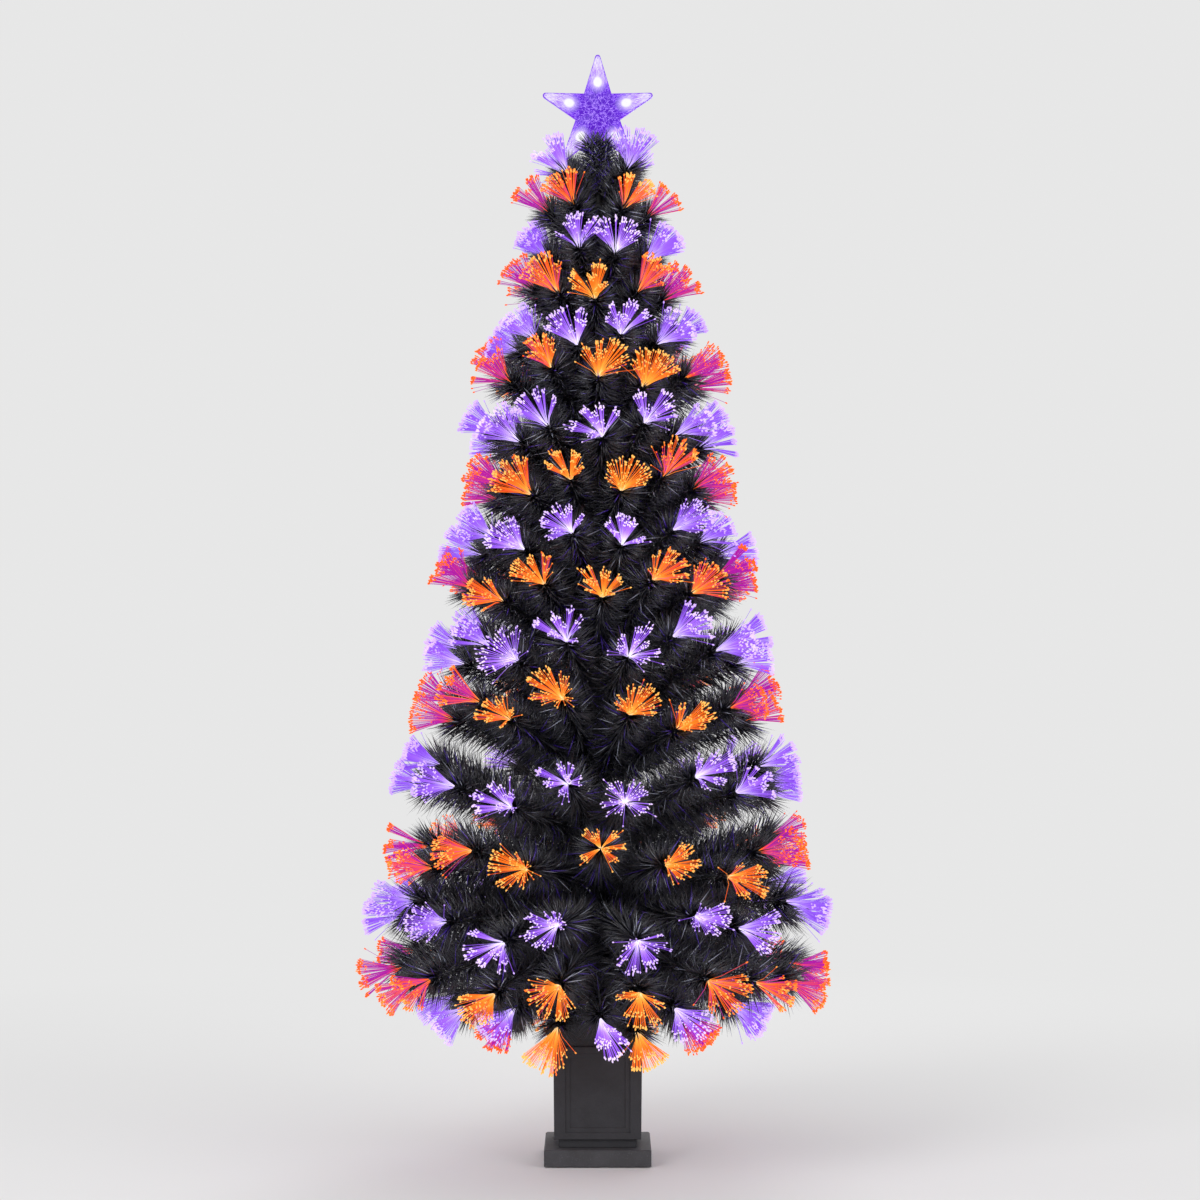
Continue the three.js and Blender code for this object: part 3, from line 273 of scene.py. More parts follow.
# Shapes: every function works out whole arrays of points on two parameters


class Skin(NamedTuple):
    """Points, faces as rows of point numbers, each face's finish and each point's place on the map."""

    points: np.ndarray
    faces: np.ndarray
    finishes: np.ndarray
    places: np.ndarray


def unit(vectors):
    return vectors / np.linalg.norm(vectors, axis=-1, keepdims=True)


def full_turn(count):
    """Angles of a full turn in equal steps."""
    return np.linspace(0, 2 * math.pi, count, endpoint=False)


def quadratic(t, start, middle, end):
    """Curve (1 - t)^2 start + 2 t (1 - t) middle + t^2 end."""
    return (1 - t) ** 2 * start + 2 * t * (1 - t) * middle + t * t * end


def polar(radius, turn, height):
    """Points at a radius and turn round the Z axis."""
    return np.stack([radius * np.cos(turn), radius * np.sin(turn), 0 * turn + height], -1)


def perpendicular(vectors):
    """A steady unit vector square to each: crossed with Z, or with X where the vector runs near Z."""
    vectors = np.asarray(vectors, float)
    steep = np.abs(vectors[..., 2:]) > 0.9 * np.linalg.norm(vectors, axis=-1, keepdims=True)
    return unit(np.cross(np.where(steep, [1.0, 0, 0], [0, 0, 1.0]), vectors))


def tubes(rings, finish=0, places=None, looped=False):
    """Skins of many tubes at once.

    rings is tube, ring, corner, xyz, each ring anticlockwise about the way ahead. A wall face joins corners
    j and j + 1 of ring i to those of ring i + 1. One face closes each end, unless the last ring is looped to
    the first.
    """
    count, levels, sides, _ = rings.shape
    number = np.arange(count * levels * sides).reshape(count, levels, sides)
    beside = np.roll(number, -1, axis=2)
    ahead, beyond = (np.roll(x, -1, axis=1) for x in (number, beside))
    walls = np.stack([number, beside, beyond, ahead], -1)
    if not looped:
        walls = walls[:, :-1]
    kinds = np.broadcast_to(finish, (count, walls.shape[1]))
    points = rings.reshape(-1, 3)
    spots = np.zeros((len(points), 2)) if places is None else places.reshape(-1, 2)
    skins = [Skin(points, walls.reshape(-1, 4), np.repeat(kinds.ravel(), sides), spots)]
    if not looped:
        ends = np.concatenate([number[:, 0, ::-1], number[:, -1]])
        skins.append(Skin(points, ends, np.concatenate([kinds[:, 0], kinds[:, -1]]), spots))
    return skins


def turned(profile, sides=40, places=(0, 0, 0), axes=(0, 0, 1)):
    """Rings of turned pieces: (radius, height) pairs carried round an axis through each place."""
    radius, height = np.array(profile, float).T
    places, axes = np.atleast_2d(np.array(places, float)), np.atleast_2d(unit(np.array(axes, float)))
    across = perpendicular(axes)
    upward = np.cross(axes, across)
    turn = full_turn(sides)[:, None]
    around = np.cos(turn) * across[:, None] + np.sin(turn) * upward[:, None]
    centres = places[:, None] + height[:, None] * axes[:, None]
    return centres[:, :, None] + radius[:, None, None] * around[:, None]


def rounded(profile, radius, steps=4):
    """Profile whose inner corners are quadratic curves that start and end radius away from the corner."""
    corners = np.array(profile, float)
    middle = corners[1:-1, None]
    back, ahead = corners[:-2, None] - middle, corners[2:, None] - middle
    start, end = (
        middle + side * np.minimum(radius / np.linalg.norm(side, axis=-1, keepdims=True), 0.45)
        for side in (back, ahead)
    )
    t = np.linspace(0, 1, steps)[:, None]
    curve = quadratic(t, start, middle, end)
    return np.concatenate([corners[:1], curve.reshape(-1, 2), corners[-1:]])


def carried(lines, radii, sides):
    """Rings of a round section carried along each line: the line's direction and two vectors square to it."""
    runs = unit(np.gradient(lines, axis=1))
    across = perpendicular(runs)
    upward = np.cross(runs, across)
    turn = full_turn(sides)[:, None]
    around = np.cos(turn) * across[..., None, :] + np.sin(turn) * upward[..., None, :]
    return lines[..., None, :] + np.asarray(radii)[..., None, None] * around


def wires(lines, radius, sides, finish=0):
    """Skins of round wires of one radius carried along the lines."""
    return tubes(carried(lines, np.full(lines.shape[:2], radius), sides), finish)


def hoop(radius, height, wire, sides=10, steps=48):
    """Rings of a torus: a circle of the wire's radius carried round the Z axis."""
    turn = full_turn(steps)[:, None]
    round_it = full_turn(sides)[None]
    out = radius + wire * np.cos(round_it)
    level = np.broadcast_to(height - wire * np.sin(round_it), (steps, sides))
    return np.stack([out * np.cos(turn), out * np.sin(turn), level], -1)[None]


def shape_mesh(name, skins, mapped=False):
    """Mesh of the skins, with a map of their places where the finish follows the surface."""
    mesh = bpy.data.meshes.new(name)
    starts = np.cumsum([0] + [len(skin.points) for skin in skins])
    corners = [(skin.faces + start).ravel() for skin, start in zip(skins, starts)]
    sizes = np.concatenate([np.full(len(skin.faces), skin.faces.shape[1]) for skin in skins])
    mesh.vertices.add(starts[-1])
    mesh.vertices.foreach_set("co", np.concatenate([skin.points for skin in skins]).ravel())
    mesh.loops.add(int(sizes.sum()))
    mesh.loops.foreach_set("vertex_index", np.concatenate(corners))
    mesh.polygons.add(len(sizes))
    mesh.polygons.foreach_set("loop_start", np.cumsum(sizes) - sizes)
    mesh.polygons.foreach_set("material_index", np.concatenate([skin.finishes for skin in skins]))
    mesh.update(calc_edges=True)
    if mapped:
        layer = mesh.uv_layers.new(name="OFBake")
        places = np.concatenate([skin.places[skin.faces].reshape(-1, 2) for skin in skins])
        layer.uv.foreach_set("vector", places.ravel().astype(np.float32))
    mesh.validate()
    return mesh


def show(name, shape, finishes, body, replaces=(), smooth=None, mapped=False):
    """Object of a mesh or of skins on its body, with its finishes.

    smooth is the angle in degrees past which edges stay sharp.
    """
    mesh = shape if isinstance(shape, bpy.types.Mesh) else shape_mesh(name, shape, mapped)
    piece = placed(name, mesh)
    for finish in finishes:
        mesh.materials.append(finish)
    if smooth is not None:
        mesh.polygons.foreach_set("use_smooth", np.ones(len(mesh.polygons), bool))
        mesh.set_sharp_from_angle(angle=math.radians(smooth))
    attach(piece, body)
    if replaces:
        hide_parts(*replaces)
    return piece


def body_of(node):
    return frame["nodes"][node]["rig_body"]


def dress(node, finish):
    """Shows a packed node as it is, in the finish."""
    dressed = frame["nodes"][node].data.materials
    dressed.clear()
    dressed.append(finish)


def turned_piece(name, profile, finish, node, sides=40, place=(0, 0, 0), edge=0.3 * MM):
    """Piece of one turned profile on an upright axis, standing for a packed node."""
    skins = tubes(turned(rounded(profile, edge), sides, place))
    show(name, skins, [finish], body_of(node), [node], smooth=35)


def softened(name, node, finish, width):
    """Copy of a packed node's faces, merged where they lie flat, with its edges rounded by a bevel."""
    flat_angle, edge_angle = math.radians(0.5), math.radians(30)
    source = frame["nodes"][node].data
    points = np.empty(len(source.vertices) * 3, np.float32)
    corners = np.empty(len(source.loops), np.int32)
    source.vertices.foreach_get("co", points)
    source.loops.foreach_get("vertex_index", corners)
    faces = corners.reshape(-1, 3)
    skin = Skin(points.reshape(-1, 3), faces, np.zeros(len(faces), int), np.zeros((len(points) // 3, 2)))
    mesh = shape_mesh(name, [skin])
    merged = bmesh.new()
    merged.from_mesh(mesh)
    bmesh.ops.remove_doubles(merged, verts=merged.verts, dist=0.001 * MM)
    bmesh.ops.dissolve_limit(merged, angle_limit=flat_angle, verts=merged.verts, edges=merged.edges)
    merged.to_mesh(mesh)
    merged.free()
    piece = show(name, mesh, [finish], body_of(node), [node], smooth=30)
    bevel = piece.modifiers.new("Rounded edges", "BEVEL")
    bevel.width = width
    bevel.segments = 2
    bevel.limit_method = "ANGLE"
    bevel.angle_limit = edge_angle


# Finishes

BACKDROP = (0.8, 0.8, 0.8, 1)
# Share of needles painted pale, as painted highlights for the film's reflections
PAINTED_HIGHLIGHT_SHARE = 0.035
BANDS = 64
BEAD_START = 0.965


def add_node(tree, kind, inputs=(), **traits):
    """New shader node; an input is a plain value, or the output that drives it."""
    node = tree.nodes.new("ShaderNode" + kind)
    for trait, value in traits.items():
        setattr(node, trait, value)
    for socket, value in dict(inputs).items():
        if isinstance(value, bpy.types.NodeSocket):
            tree.links.new(value, node.inputs[socket])
        else:
            node.inputs[socket].default_value = value
    return node


class Finish:
    """A node material: its Principled shader, with plain values on its sockets, and helpers to add nodes."""

    def __init__(self, name, colour, roughness, **sockets):
        self.material = bpy.data.materials.new(name)
        self.material.use_nodes = True
        self.tree = self.material.node_tree
        self.shader = self.tree.nodes["Principled BSDF"]
        self.shader.inputs["Base Color"].default_value = colour
        self.shader.inputs["Roughness"].default_value = roughness
        for socket, value in sockets.items():
            self.shader.inputs[socket.replace("_", " ")].default_value = value

    def add(self, kind, inputs=(), **traits):
        return add_node(self.tree, kind, inputs, **traits)

    def drive(self, socket, output):
        self.tree.links.new(output, self.shader.inputs[socket])

    def around(self):
        return self.add("TexCoord").outputs["Object"]

    def mapped(self):
        """The map's place on the surface, and its two directions."""
        place = self.add("UVMap", uv_map="OFBake").outputs["UV"]
        split = self.add("SeparateXYZ", {"Vector": place})
        return place, split.outputs["X"], split.outputs["Y"]

    def math(self, operation, *values, kind="Math", output=0, **traits):
        return self.add(kind, dict(enumerate(values)), operation=operation, **traits).outputs[output]

    def noise(self, scale, detail=3, roughness=0.55, vector=None):
        vector = vector or self.around()
        inputs = {"Vector": vector, "Scale": scale, "Detail": detail, "Roughness": roughness}
        return self.add("TexNoise", inputs).outputs["Fac"]

    def blend(self, amount, low, high):
        """Mix of two colours, whose sockets on the node are inputs 6 and 7 and output 2."""
        return self.add("Mix", {"Factor": amount, 6: low, 7: high}, data_type="RGBA").outputs[2]

    def spread(self, value, low, high, to_low=0.0, to_high=1.0):
        ends = {"From Min": low, "From Max": high, "To Min": to_low, "To Max": to_high}
        return self.add("MapRange", {"Value": value, **ends}).outputs["Result"]

    def bump(self, height, strength, distance):
        node = self.add("Bump", {"Height": height, "Strength": strength, "Distance": distance})
        self.drive("Normal", node.outputs["Normal"])


def shade(colour, factor):
    return tuple(min(channel * factor, 1.0) for channel in colour[:3]) + (1.0,)


def grained(name, colour, roughness=0.62, grain=900, depth=0.12 * MM, speckle=0.0):
    """Moulded plastic: fine grain in the bump, cloudy colour, and pale specks."""
    finish = Finish(name, colour, roughness)
    fine = finish.noise(grain, 2)
    cloudy = finish.spread(finish.noise(38, 4), 0.3, 0.7)
    tone = finish.blend(cloudy, shade(colour, 0.82), shade(colour, 1.2))
    if speckle:
        specks = finish.spread(finish.noise(grain * 0.6, 2, 0.7), 0.62, 0.7, 0.0, speckle)
        tone = finish.blend(specks, tone, shade(colour, 3.2))
    finish.drive("Base Color", tone)
    finish.drive("Roughness", finish.spread(fine, 0.3, 0.7, roughness - 0.08, roughness + 0.14))
    finish.bump(fine, 0.55, depth)
    return finish.material


def black_plastic():
    return grained("Black moulding", (0.018, 0.018, 0.02, 1), 0.5, 1400, 0.05 * MM)


def patched(name, colour, roughness, grain, tints=(), shine=(), bump=(), **sockets):
    """Finish with one noise, which may mix two tints, spread the roughness and lift the surface."""
    finish = Finish(name, colour, roughness, **sockets)
    patches = finish.noise(*grain)
    if tints:
        finish.drive("Base Color", finish.blend(patches, *tints))
    if shine:
        finish.drive("Roughness", finish.spread(patches, *shine))
    if bump:
        finish.bump(patches, *bump)
    return finish.material


def gloss_plastic():
    """Polished black plastic with a faint ripple and finger-worn patches."""
    shine, bump = (0.35, 0.7, 0.16, 0.34), (0.12, 0.05 * MM)
    colour = (0.012, 0.012, 0.013, 1)
    return patched("Polished black", colour, 0.22, (120, 4), (), shine, bump, Coat_Weight=0.4)


def soft_rubber():
    """Black rubber, dusty in patches."""
    finish = Finish("Rubber", (0.016, 0.016, 0.016, 1), 0.85)
    dust = finish.spread(finish.noise(160, 5), 0.45, 0.75)
    finish.drive("Base Color", finish.blend(dust, (0.014, 0.014, 0.014, 1), (0.04, 0.038, 0.036, 1)))
    finish.bump(finish.noise(700, 2), 0.3, 0.1 * MM)
    return finish.material


def zinc_steel():
    """Bright zinc plate: spangled patches of tint and roughness."""
    tints, shine = ((0.48, 0.49, 0.5, 1), (0.7, 0.7, 0.68, 1)), (0.3, 0.7, 0.26, 0.44)
    return patched("Zinc plate", (0.6, 0.61, 0.63, 1), 0.34, (420, 3), tints, shine, Metallic=1.0)


def powder_coat():
    """Satin black powder coat with orange peel."""
    tints, bump = ((0.01, 0.012, 0.011, 1), (0.024, 0.027, 0.026, 1)), (0.35, 0.08 * MM)
    return patched("Black powder coat", (0.014, 0.016, 0.015, 1), 0.42, (850, 2), tints, (), bump)


def cast_stone():
    """Rough cast ballast with darker pits."""
    tints, bump = ((0.25, 0.24, 0.23, 1), (0.5, 0.49, 0.46, 1)), (0.8, 0.6 * MM)
    return patched("Cast ballast", (0.4, 0.39, 0.37, 1), 0.95, (240, 6, 0.7), tints, (), bump)


def board_green():
    """Solder mask with paler tracks from a stretched brick pattern."""
    finish = Finish("Solder mask", (0.02, 0.14, 0.05, 1), 0.4)
    inputs = {"Vector": finish.around(), "Scale": 160.0, "Mortar Size": 0.03}
    tracks = finish.add("TexBrick", inputs).outputs["Fac"]
    finish.drive("Base Color", finish.blend(tracks, (0.016, 0.11, 0.04, 1), (0.05, 0.26, 0.1, 1)))
    return finish.material


def film(name, sizes, painted_violet_share=0.03):
    """Cut film: each needle's tint comes from its band on the map, and the roots are painted darker, as
    painted shade by the wire.

    A few bands are pale, painted highlights that stand for the grey-white reflections on the film, and a few
    are painted violet, standing for violet light that the film reflects.
    """
    finish = Finish(name, sizes.film, 0.3, Specular_IOR_Level=0.75)
    _, along, band = finish.mapped()
    tint = finish.add("ValToRGB", {"Fac": band})
    tint.color_ramp.interpolation = "CONSTANT"
    tones = (0.7, 1.5, 0.9, 2.1, 0.6, 1.3)
    dark_share = 1 - PAINTED_HIGHLIGHT_SHARE - painted_violet_share
    tint.color_ramp.elements[0].color = shade(sizes.film, tones[0])
    # The top band is the pale painted highlight
    tint.color_ramp.elements[1].position = 1 - PAINTED_HIGHLIGHT_SHARE
    tint.color_ramp.elements[1].color = sizes.painted_highlight
    for i, tone in enumerate(tones[1:], 1):
        tint.color_ramp.elements.new(i * dark_share / len(tones)).color = shade(sizes.film, tone)
    # Painted reflection: the band below the pale one is violet, standing for the fibres' violet light
    # reflected by the film
    tint.color_ramp.elements.new(dark_share).color = (0.09, 0.03, 0.5, 1)
    # Painted shade: each needle darkens towards its root by the wire
    root = finish.spread(along, 0.0, 0.35)
    finish.drive("Base Color", finish.blend(root, (0.004, 0.004, 0.006, 1), tint.outputs["Color"]))
    return finish.material


def ramp(finish, value, stops):
    """Colour ramp of (position, colour) stops, eased between them."""
    node = finish.add("ValToRGB", {"Fac": value})
    elements = node.color_ramp.elements
    for element, (position, colour) in zip(elements, (stops[0], stops[-1])):
        element.position, element.color = position, (*colour, 1)
    for position, colour in stops[1:-1]:
        elements.new(position).color = (*colour, 1)
    return node.outputs["Color"]


def with_bead(bead, *stops):
    """Ramp along a fibre that ends in its bead's colour."""
    return (*stops, (BEAD_START, bead), (1, bead))


def lit_fibre(name, hot, dim, half=None):
    """Clear fibre that carries light: bright at the root and at the tip.

    The map's first direction runs along the strand; its second is how much light the strand takes, which
    mixes the dim ramp with the hot one, by way of the half-lit one if there is one.
    """
    finish = Finish(name, (*hot[1][1], 1), 0.45, Specular_IOR_Level=0.08, Emission_Strength=1.3)
    _, along, share = finish.mapped()
    low, high = ramp(finish, along, dim), ramp(finish, along, hot)
    if half:
        low = finish.blend(finish.spread(share, 0, 0.5), low, ramp(finish, along, half))
        share = finish.spread(share, 0.5, 1)
    glow = finish.blend(share, low, high)
    finish.drive("Emission Color", glow)
    finish.drive("Base Color", finish.blend(along, shade(hot[1][1], 0.08), shade(hot[1][1], 0.03)))
    return finish.material


# Boughs


class Row(NamedTuple):
    """One row of boughs: each bough's curve runs start, bend, root in its own upright plane."""

    number: int
    colour: str
    section: str
    serials: np.ndarray
    azimuths: np.ndarray
    curve: np.ndarray
    collar: float
    collar_height: float

    def along(self, t):
        """Points and their run, upward and sideways directions at the shares t of each bough's curve.

        The curve is (1 - t)^2 start + 2 t (1 - t) bend + t^2 root, turned to the bough's azimuth.
        """
        t = np.broadcast_to(t, (len(self.serials), np.shape(t)[-1]))[..., None]
        start, bend, root = (self.curve[:, None, i] for i in range(3))
        flat = quadratic(t, start, bend, root)
        run = unit((1 - t) * (bend - start) + t * (root - bend))
        out = polar(1, self.azimuths, 0)[:, None]
        top = np.array([0.0, 0, 1])
        side = np.broadcast_to(np.cross(top, out), flat.shape[:2] + (3,))
        return (
            flat[..., :1] * out + flat[..., 1:] * top,
            run[..., :1] * out + run[..., 1:] * top,
            run[..., :1] * top - run[..., 1:] * out,
            side,
        )


def scatter(serials, kind):
    """Steady scatter between -1 and 1: the nth step of an irrational stride."""
    return 2 * (serials * STRIDE_SHARES[kind] % 1) - 1


def grow_rows():
    """Every row, as in the packed part: boughs spread evenly from the gap at the back, nudged a little."""
    sizes = settings("foliage")
    joint = sizes.base + JOINT_SHARE * sizes.height
    rows, grown = [], 0
    gaps = -np.diff([row[3] for row in ROW_SHARES])
    gaps = np.minimum(np.append(gaps, gaps[-1]), np.append(gaps[0], gaps))
    for number, (colour, count, collar_share, root_share, radius_share) in enumerate(ROW_SHARES, 1):
        serials = grown + 1 + np.arange(count)
        grown += count
        step = 2 * math.pi / count
        stride = (count - 2 * BACK_GAP_SHARE) / (count - 1)
        nudge = AZIMUTH_SCATTER_SHARE * scatter(serials, "azimuth")
        nudge[[0, -1]] = 0
        azimuths = math.pi / 2 + (BACK_GAP_SHARE + np.arange(count) * stride + nudge) * step
        edges = np.concatenate(
            [[math.pi / 2], (azimuths[1:] + azimuths[:-1]) / 2, [math.pi * 2.5]]
        )
        collar_height = sizes.base + collar_share * sizes.height
        shaft = SPIGOT_RADIUS if collar_height > joint else TRUNK_RADIUS
        collar = (shaft + SEAT_GAP) / math.cos(np.diff(edges).max() / 2)
        reach = sizes.widest * radius_share * (1 + REACH_SCATTER_SHARE * scatter(serials, "reach"))
        stray = min(
            HEIGHT_SCATTER_SHARE * sizes.widest * radius_share,
            ROW_GAP_SHARE * sizes.height * gaps[number - 1],
        )
        root = sizes.base + root_share * sizes.height + stray * scatter(serials, "height")
        bend = collar_height + BEND_SHARE * np.maximum(root - collar_height, 0)
        begin = np.full(count, collar + COLLAR_WALL)
        level = np.full(count, collar_height)
        curve = np.stack([begin, level, (begin + reach) / 2, bend, reach, root], -1).reshape(-1, 3, 2)
        section = "upper" if collar_height > joint else "lower"
        rows.append(Row(number, colour, section, serials, azimuths, curve, collar, collar_height))
    return rows


# How needles stand on their wire: lean and its scatter in degrees, and the lean that the tuft loses
LEAN = 64
LEAN_SCATTER = 11
TUFT_LEAN = 22
TUFT_DEPTH_SHARE = 0.06
WIDEST_PLACE_SHARE = 0.32
SHORTEST_SHARE = 0.86
GROWTH_SHARE = 0.42


def needle_cloud(line, boughs, needles, length, width, begin, end, tuft, draw):
    """Needles round lines: each a thin double-ended blade, leaning out at a golden-angle turn.

    Its centre line is base + s * direction; the blade is widest a third of the way up, and a shallow ridge
    gives it thickness. The last share, tuft, of the needles crowds round the line's end and leans ahead.
    """
    spread = (np.arange(needles) + draw.random((boughs, needles))) / needles
    crowded = end - TUFT_DEPTH_SHARE * draw.random(spread.shape)
    t = np.where(spread < 1 - tuft, begin + (end - begin) * spread / (1 - tuft), crowded)
    centre, run, up, side = line(t)
    turn = np.arange(needles) * GOLDEN_ANGLE + draw.normal(0, 0.4, spread.shape)
    radial = np.cos(turn)[..., None] * up + np.sin(turn)[..., None] * side
    tilt = draw.normal(LEAN, LEAN_SCATTER, spread.shape) - TUFT_LEAN * (spread > 1 - tuft)
    lean = np.radians(tilt)[..., None]
    ahead = unit(np.cos(lean) * run + np.sin(lean) * radial)
    reach = length * draw.uniform(0.72, 1.08, spread.shape) * np.minimum(0.62 + 1.6 * spread, 1)
    base = centre + 0.8 * MM * radial
    face = perpendicular(ahead)
    back = np.cross(ahead, face)
    roll = draw.uniform(0, math.pi, spread.shape)[..., None]
    wide = np.cos(roll) * face + np.sin(roll) * back
    ridge = np.cross(ahead, wide)
    middle = base + WIDEST_PLACE_SHARE * reach[..., None] * ahead
    points = np.stack(
        [
            base,
            middle + width / 2 * wide,
            middle + width / 5 * ridge,
            middle - width / 2 * wide,
            base + reach[..., None] * ahead,
        ],
        axis=-2,
    )
    return points.reshape(-1, 5, 3)


def needle_skin(points, draw):
    """Skin of five-point blades: root, two edges, ridge and tip. Each blade lies in one band of the map."""
    corners = np.array([[1, 2, 4], [2, 3, 4], [3, 1, 4], [2, 1, 0], [3, 2, 0], [1, 3, 0]])
    faces = (np.arange(len(points))[:, None, None] * 5 + corners).reshape(-1, 3)
    band = (draw.integers(0, BANDS, len(points)) + 0.5) / BANDS
    across = np.array([0, 0.3, 0, -0.3, 0]) / BANDS
    along = np.array([0, 0.3, 0.36, 0.3, 1])
    places = np.stack([np.broadcast_to(along, (len(points), 5)), band[:, None] + across], -1)
    return Skin(points.reshape(-1, 3), faces, np.zeros(len(faces), int), places.reshape(-1, 2))


class FIBRETREE_OT_boughs(bpy.types.Operator):
    """Tinsel boughs: a moulded collar, wire stems and film needles for each row"""

    bl_idname = "fibretree.boughs"
    bl_label = "Tinsel boughs"

    def execute(self, context):
        sizes = settings("foliage")
        needles = sizes.needles // 1
        finishes = [film("Tinsel film", sizes), powder_coat(), black_plastic()]
        for row in grow_rows():
            draw = np.random.default_rng(row.number)
            count = len(row.serials)
            radius_share = ROW_SHARES[row.number - 1][4]
            full = sizes.needle_length * (SHORTEST_SHARE + GROWTH_SHARE * radius_share)
            blades = needle_cloud(
                row.along, count, needles, full, sizes.needle_width,
                begin=0.07, end=0.97, tuft=0.16, draw=draw,
            )
            stems = row.along(np.linspace(0, 1, 9))[0]
            radii = np.linspace(1.7, 1.2, 9) * MM
            half, inner, outer = COLLAR_HEIGHT / 2, row.collar - 0.5 * MM, row.collar + COLLAR_WALL
            profile = np.array([
                [inner, -half], [outer - MM, -half], [outer, MM - half], [outer, -1.4 * MM],
                [outer + 0.8 * MM, 0], [outer, 1.4 * MM], [outer, half - MM],
                [outer - MM, half], [inner, half],
            ])
            collar = turned(profile, 48, (0, 0, row.collar_height))
            skins = [needle_skin(blades, draw)]
            skins += tubes(carried(stems, np.broadcast_to(radii, stems.shape[:2]), 5), 1)
            skins += tubes(collar, 2, looped=True)
            name = f"tinsel_row_{row.number:02d}"
            node = f"bough_ring_{row.number:02d}"
            show(name, skins, finishes, row.section + "_tree", [node], mapped=True)
        return {"FINISHED"}


class FIBRETREE_OT_leader(bpy.types.Operator):
    """Leader tuft: film needles on short wires round the trunk's top, parted for the star"""

    bl_idname = "fibretree.leader"
    bl_label = "Leader tuft"

    def execute(self, context):
        sizes = settings("foliage")
        draw = np.random.default_rng(len(ROW_SHARES) + 1)
        low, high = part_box("leader_tuft")
        star_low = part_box("star_front")[0].z
        parting = 14.8 * MM
        azimuths = np.radians([-90, -62, -118, -40, -140, 0, 180, 40, 140, 62, 118, 90])
        upright = np.abs(np.sin(azimuths)) > 0.8
        foot = polar(SPIGOT_RADIUS, azimuths, low.z)
        spread = np.where(upright, 25, 30) * MM
        rise = np.where(upright, 78, 30) * MM
        star_gap = 4 * MM
        top = polar(spread, azimuths, low.z + rise)

        def line(t):
            """Straight wires from foot to top."""
            centre = foot[:, None] + t[..., None] * (top - foot)[:, None]
            run = np.broadcast_to(unit(top - foot)[:, None], centre.shape)
            side = perpendicular(run)
            return centre, run, np.cross(side, run), side

        count = 320
        full = 34 * MM
        blades = needle_cloud(
            line, len(azimuths), count, full, sizes.needle_width,
            begin=0.0, end=1.0, tuft=0.1, draw=draw,
        )
        in_parting = (np.abs(blades[..., 1]) < parting) & (blades[..., 2] > star_low - star_gap)
        above = blades[..., 2] > high.z
        blades = blades[~(in_parting | above).any(1)]
        stems = foot[:, None] + np.linspace(0, 1, 5)[:, None] * (top - foot)[:, None]
        skins = [needle_skin(blades, draw)] + wires(stems, 1.1 * MM, 6, 1)
        # The leader's film takes a larger share of painted violet reflection
        finishes = [film("Leader film", sizes, 0.16), powder_coat()]
        show("leader_needles", skins, finishes, "upper_tree", ["leader_tuft"], mapped=True)
        return {"FINISHED"}


# Fibre sprays and their wiring


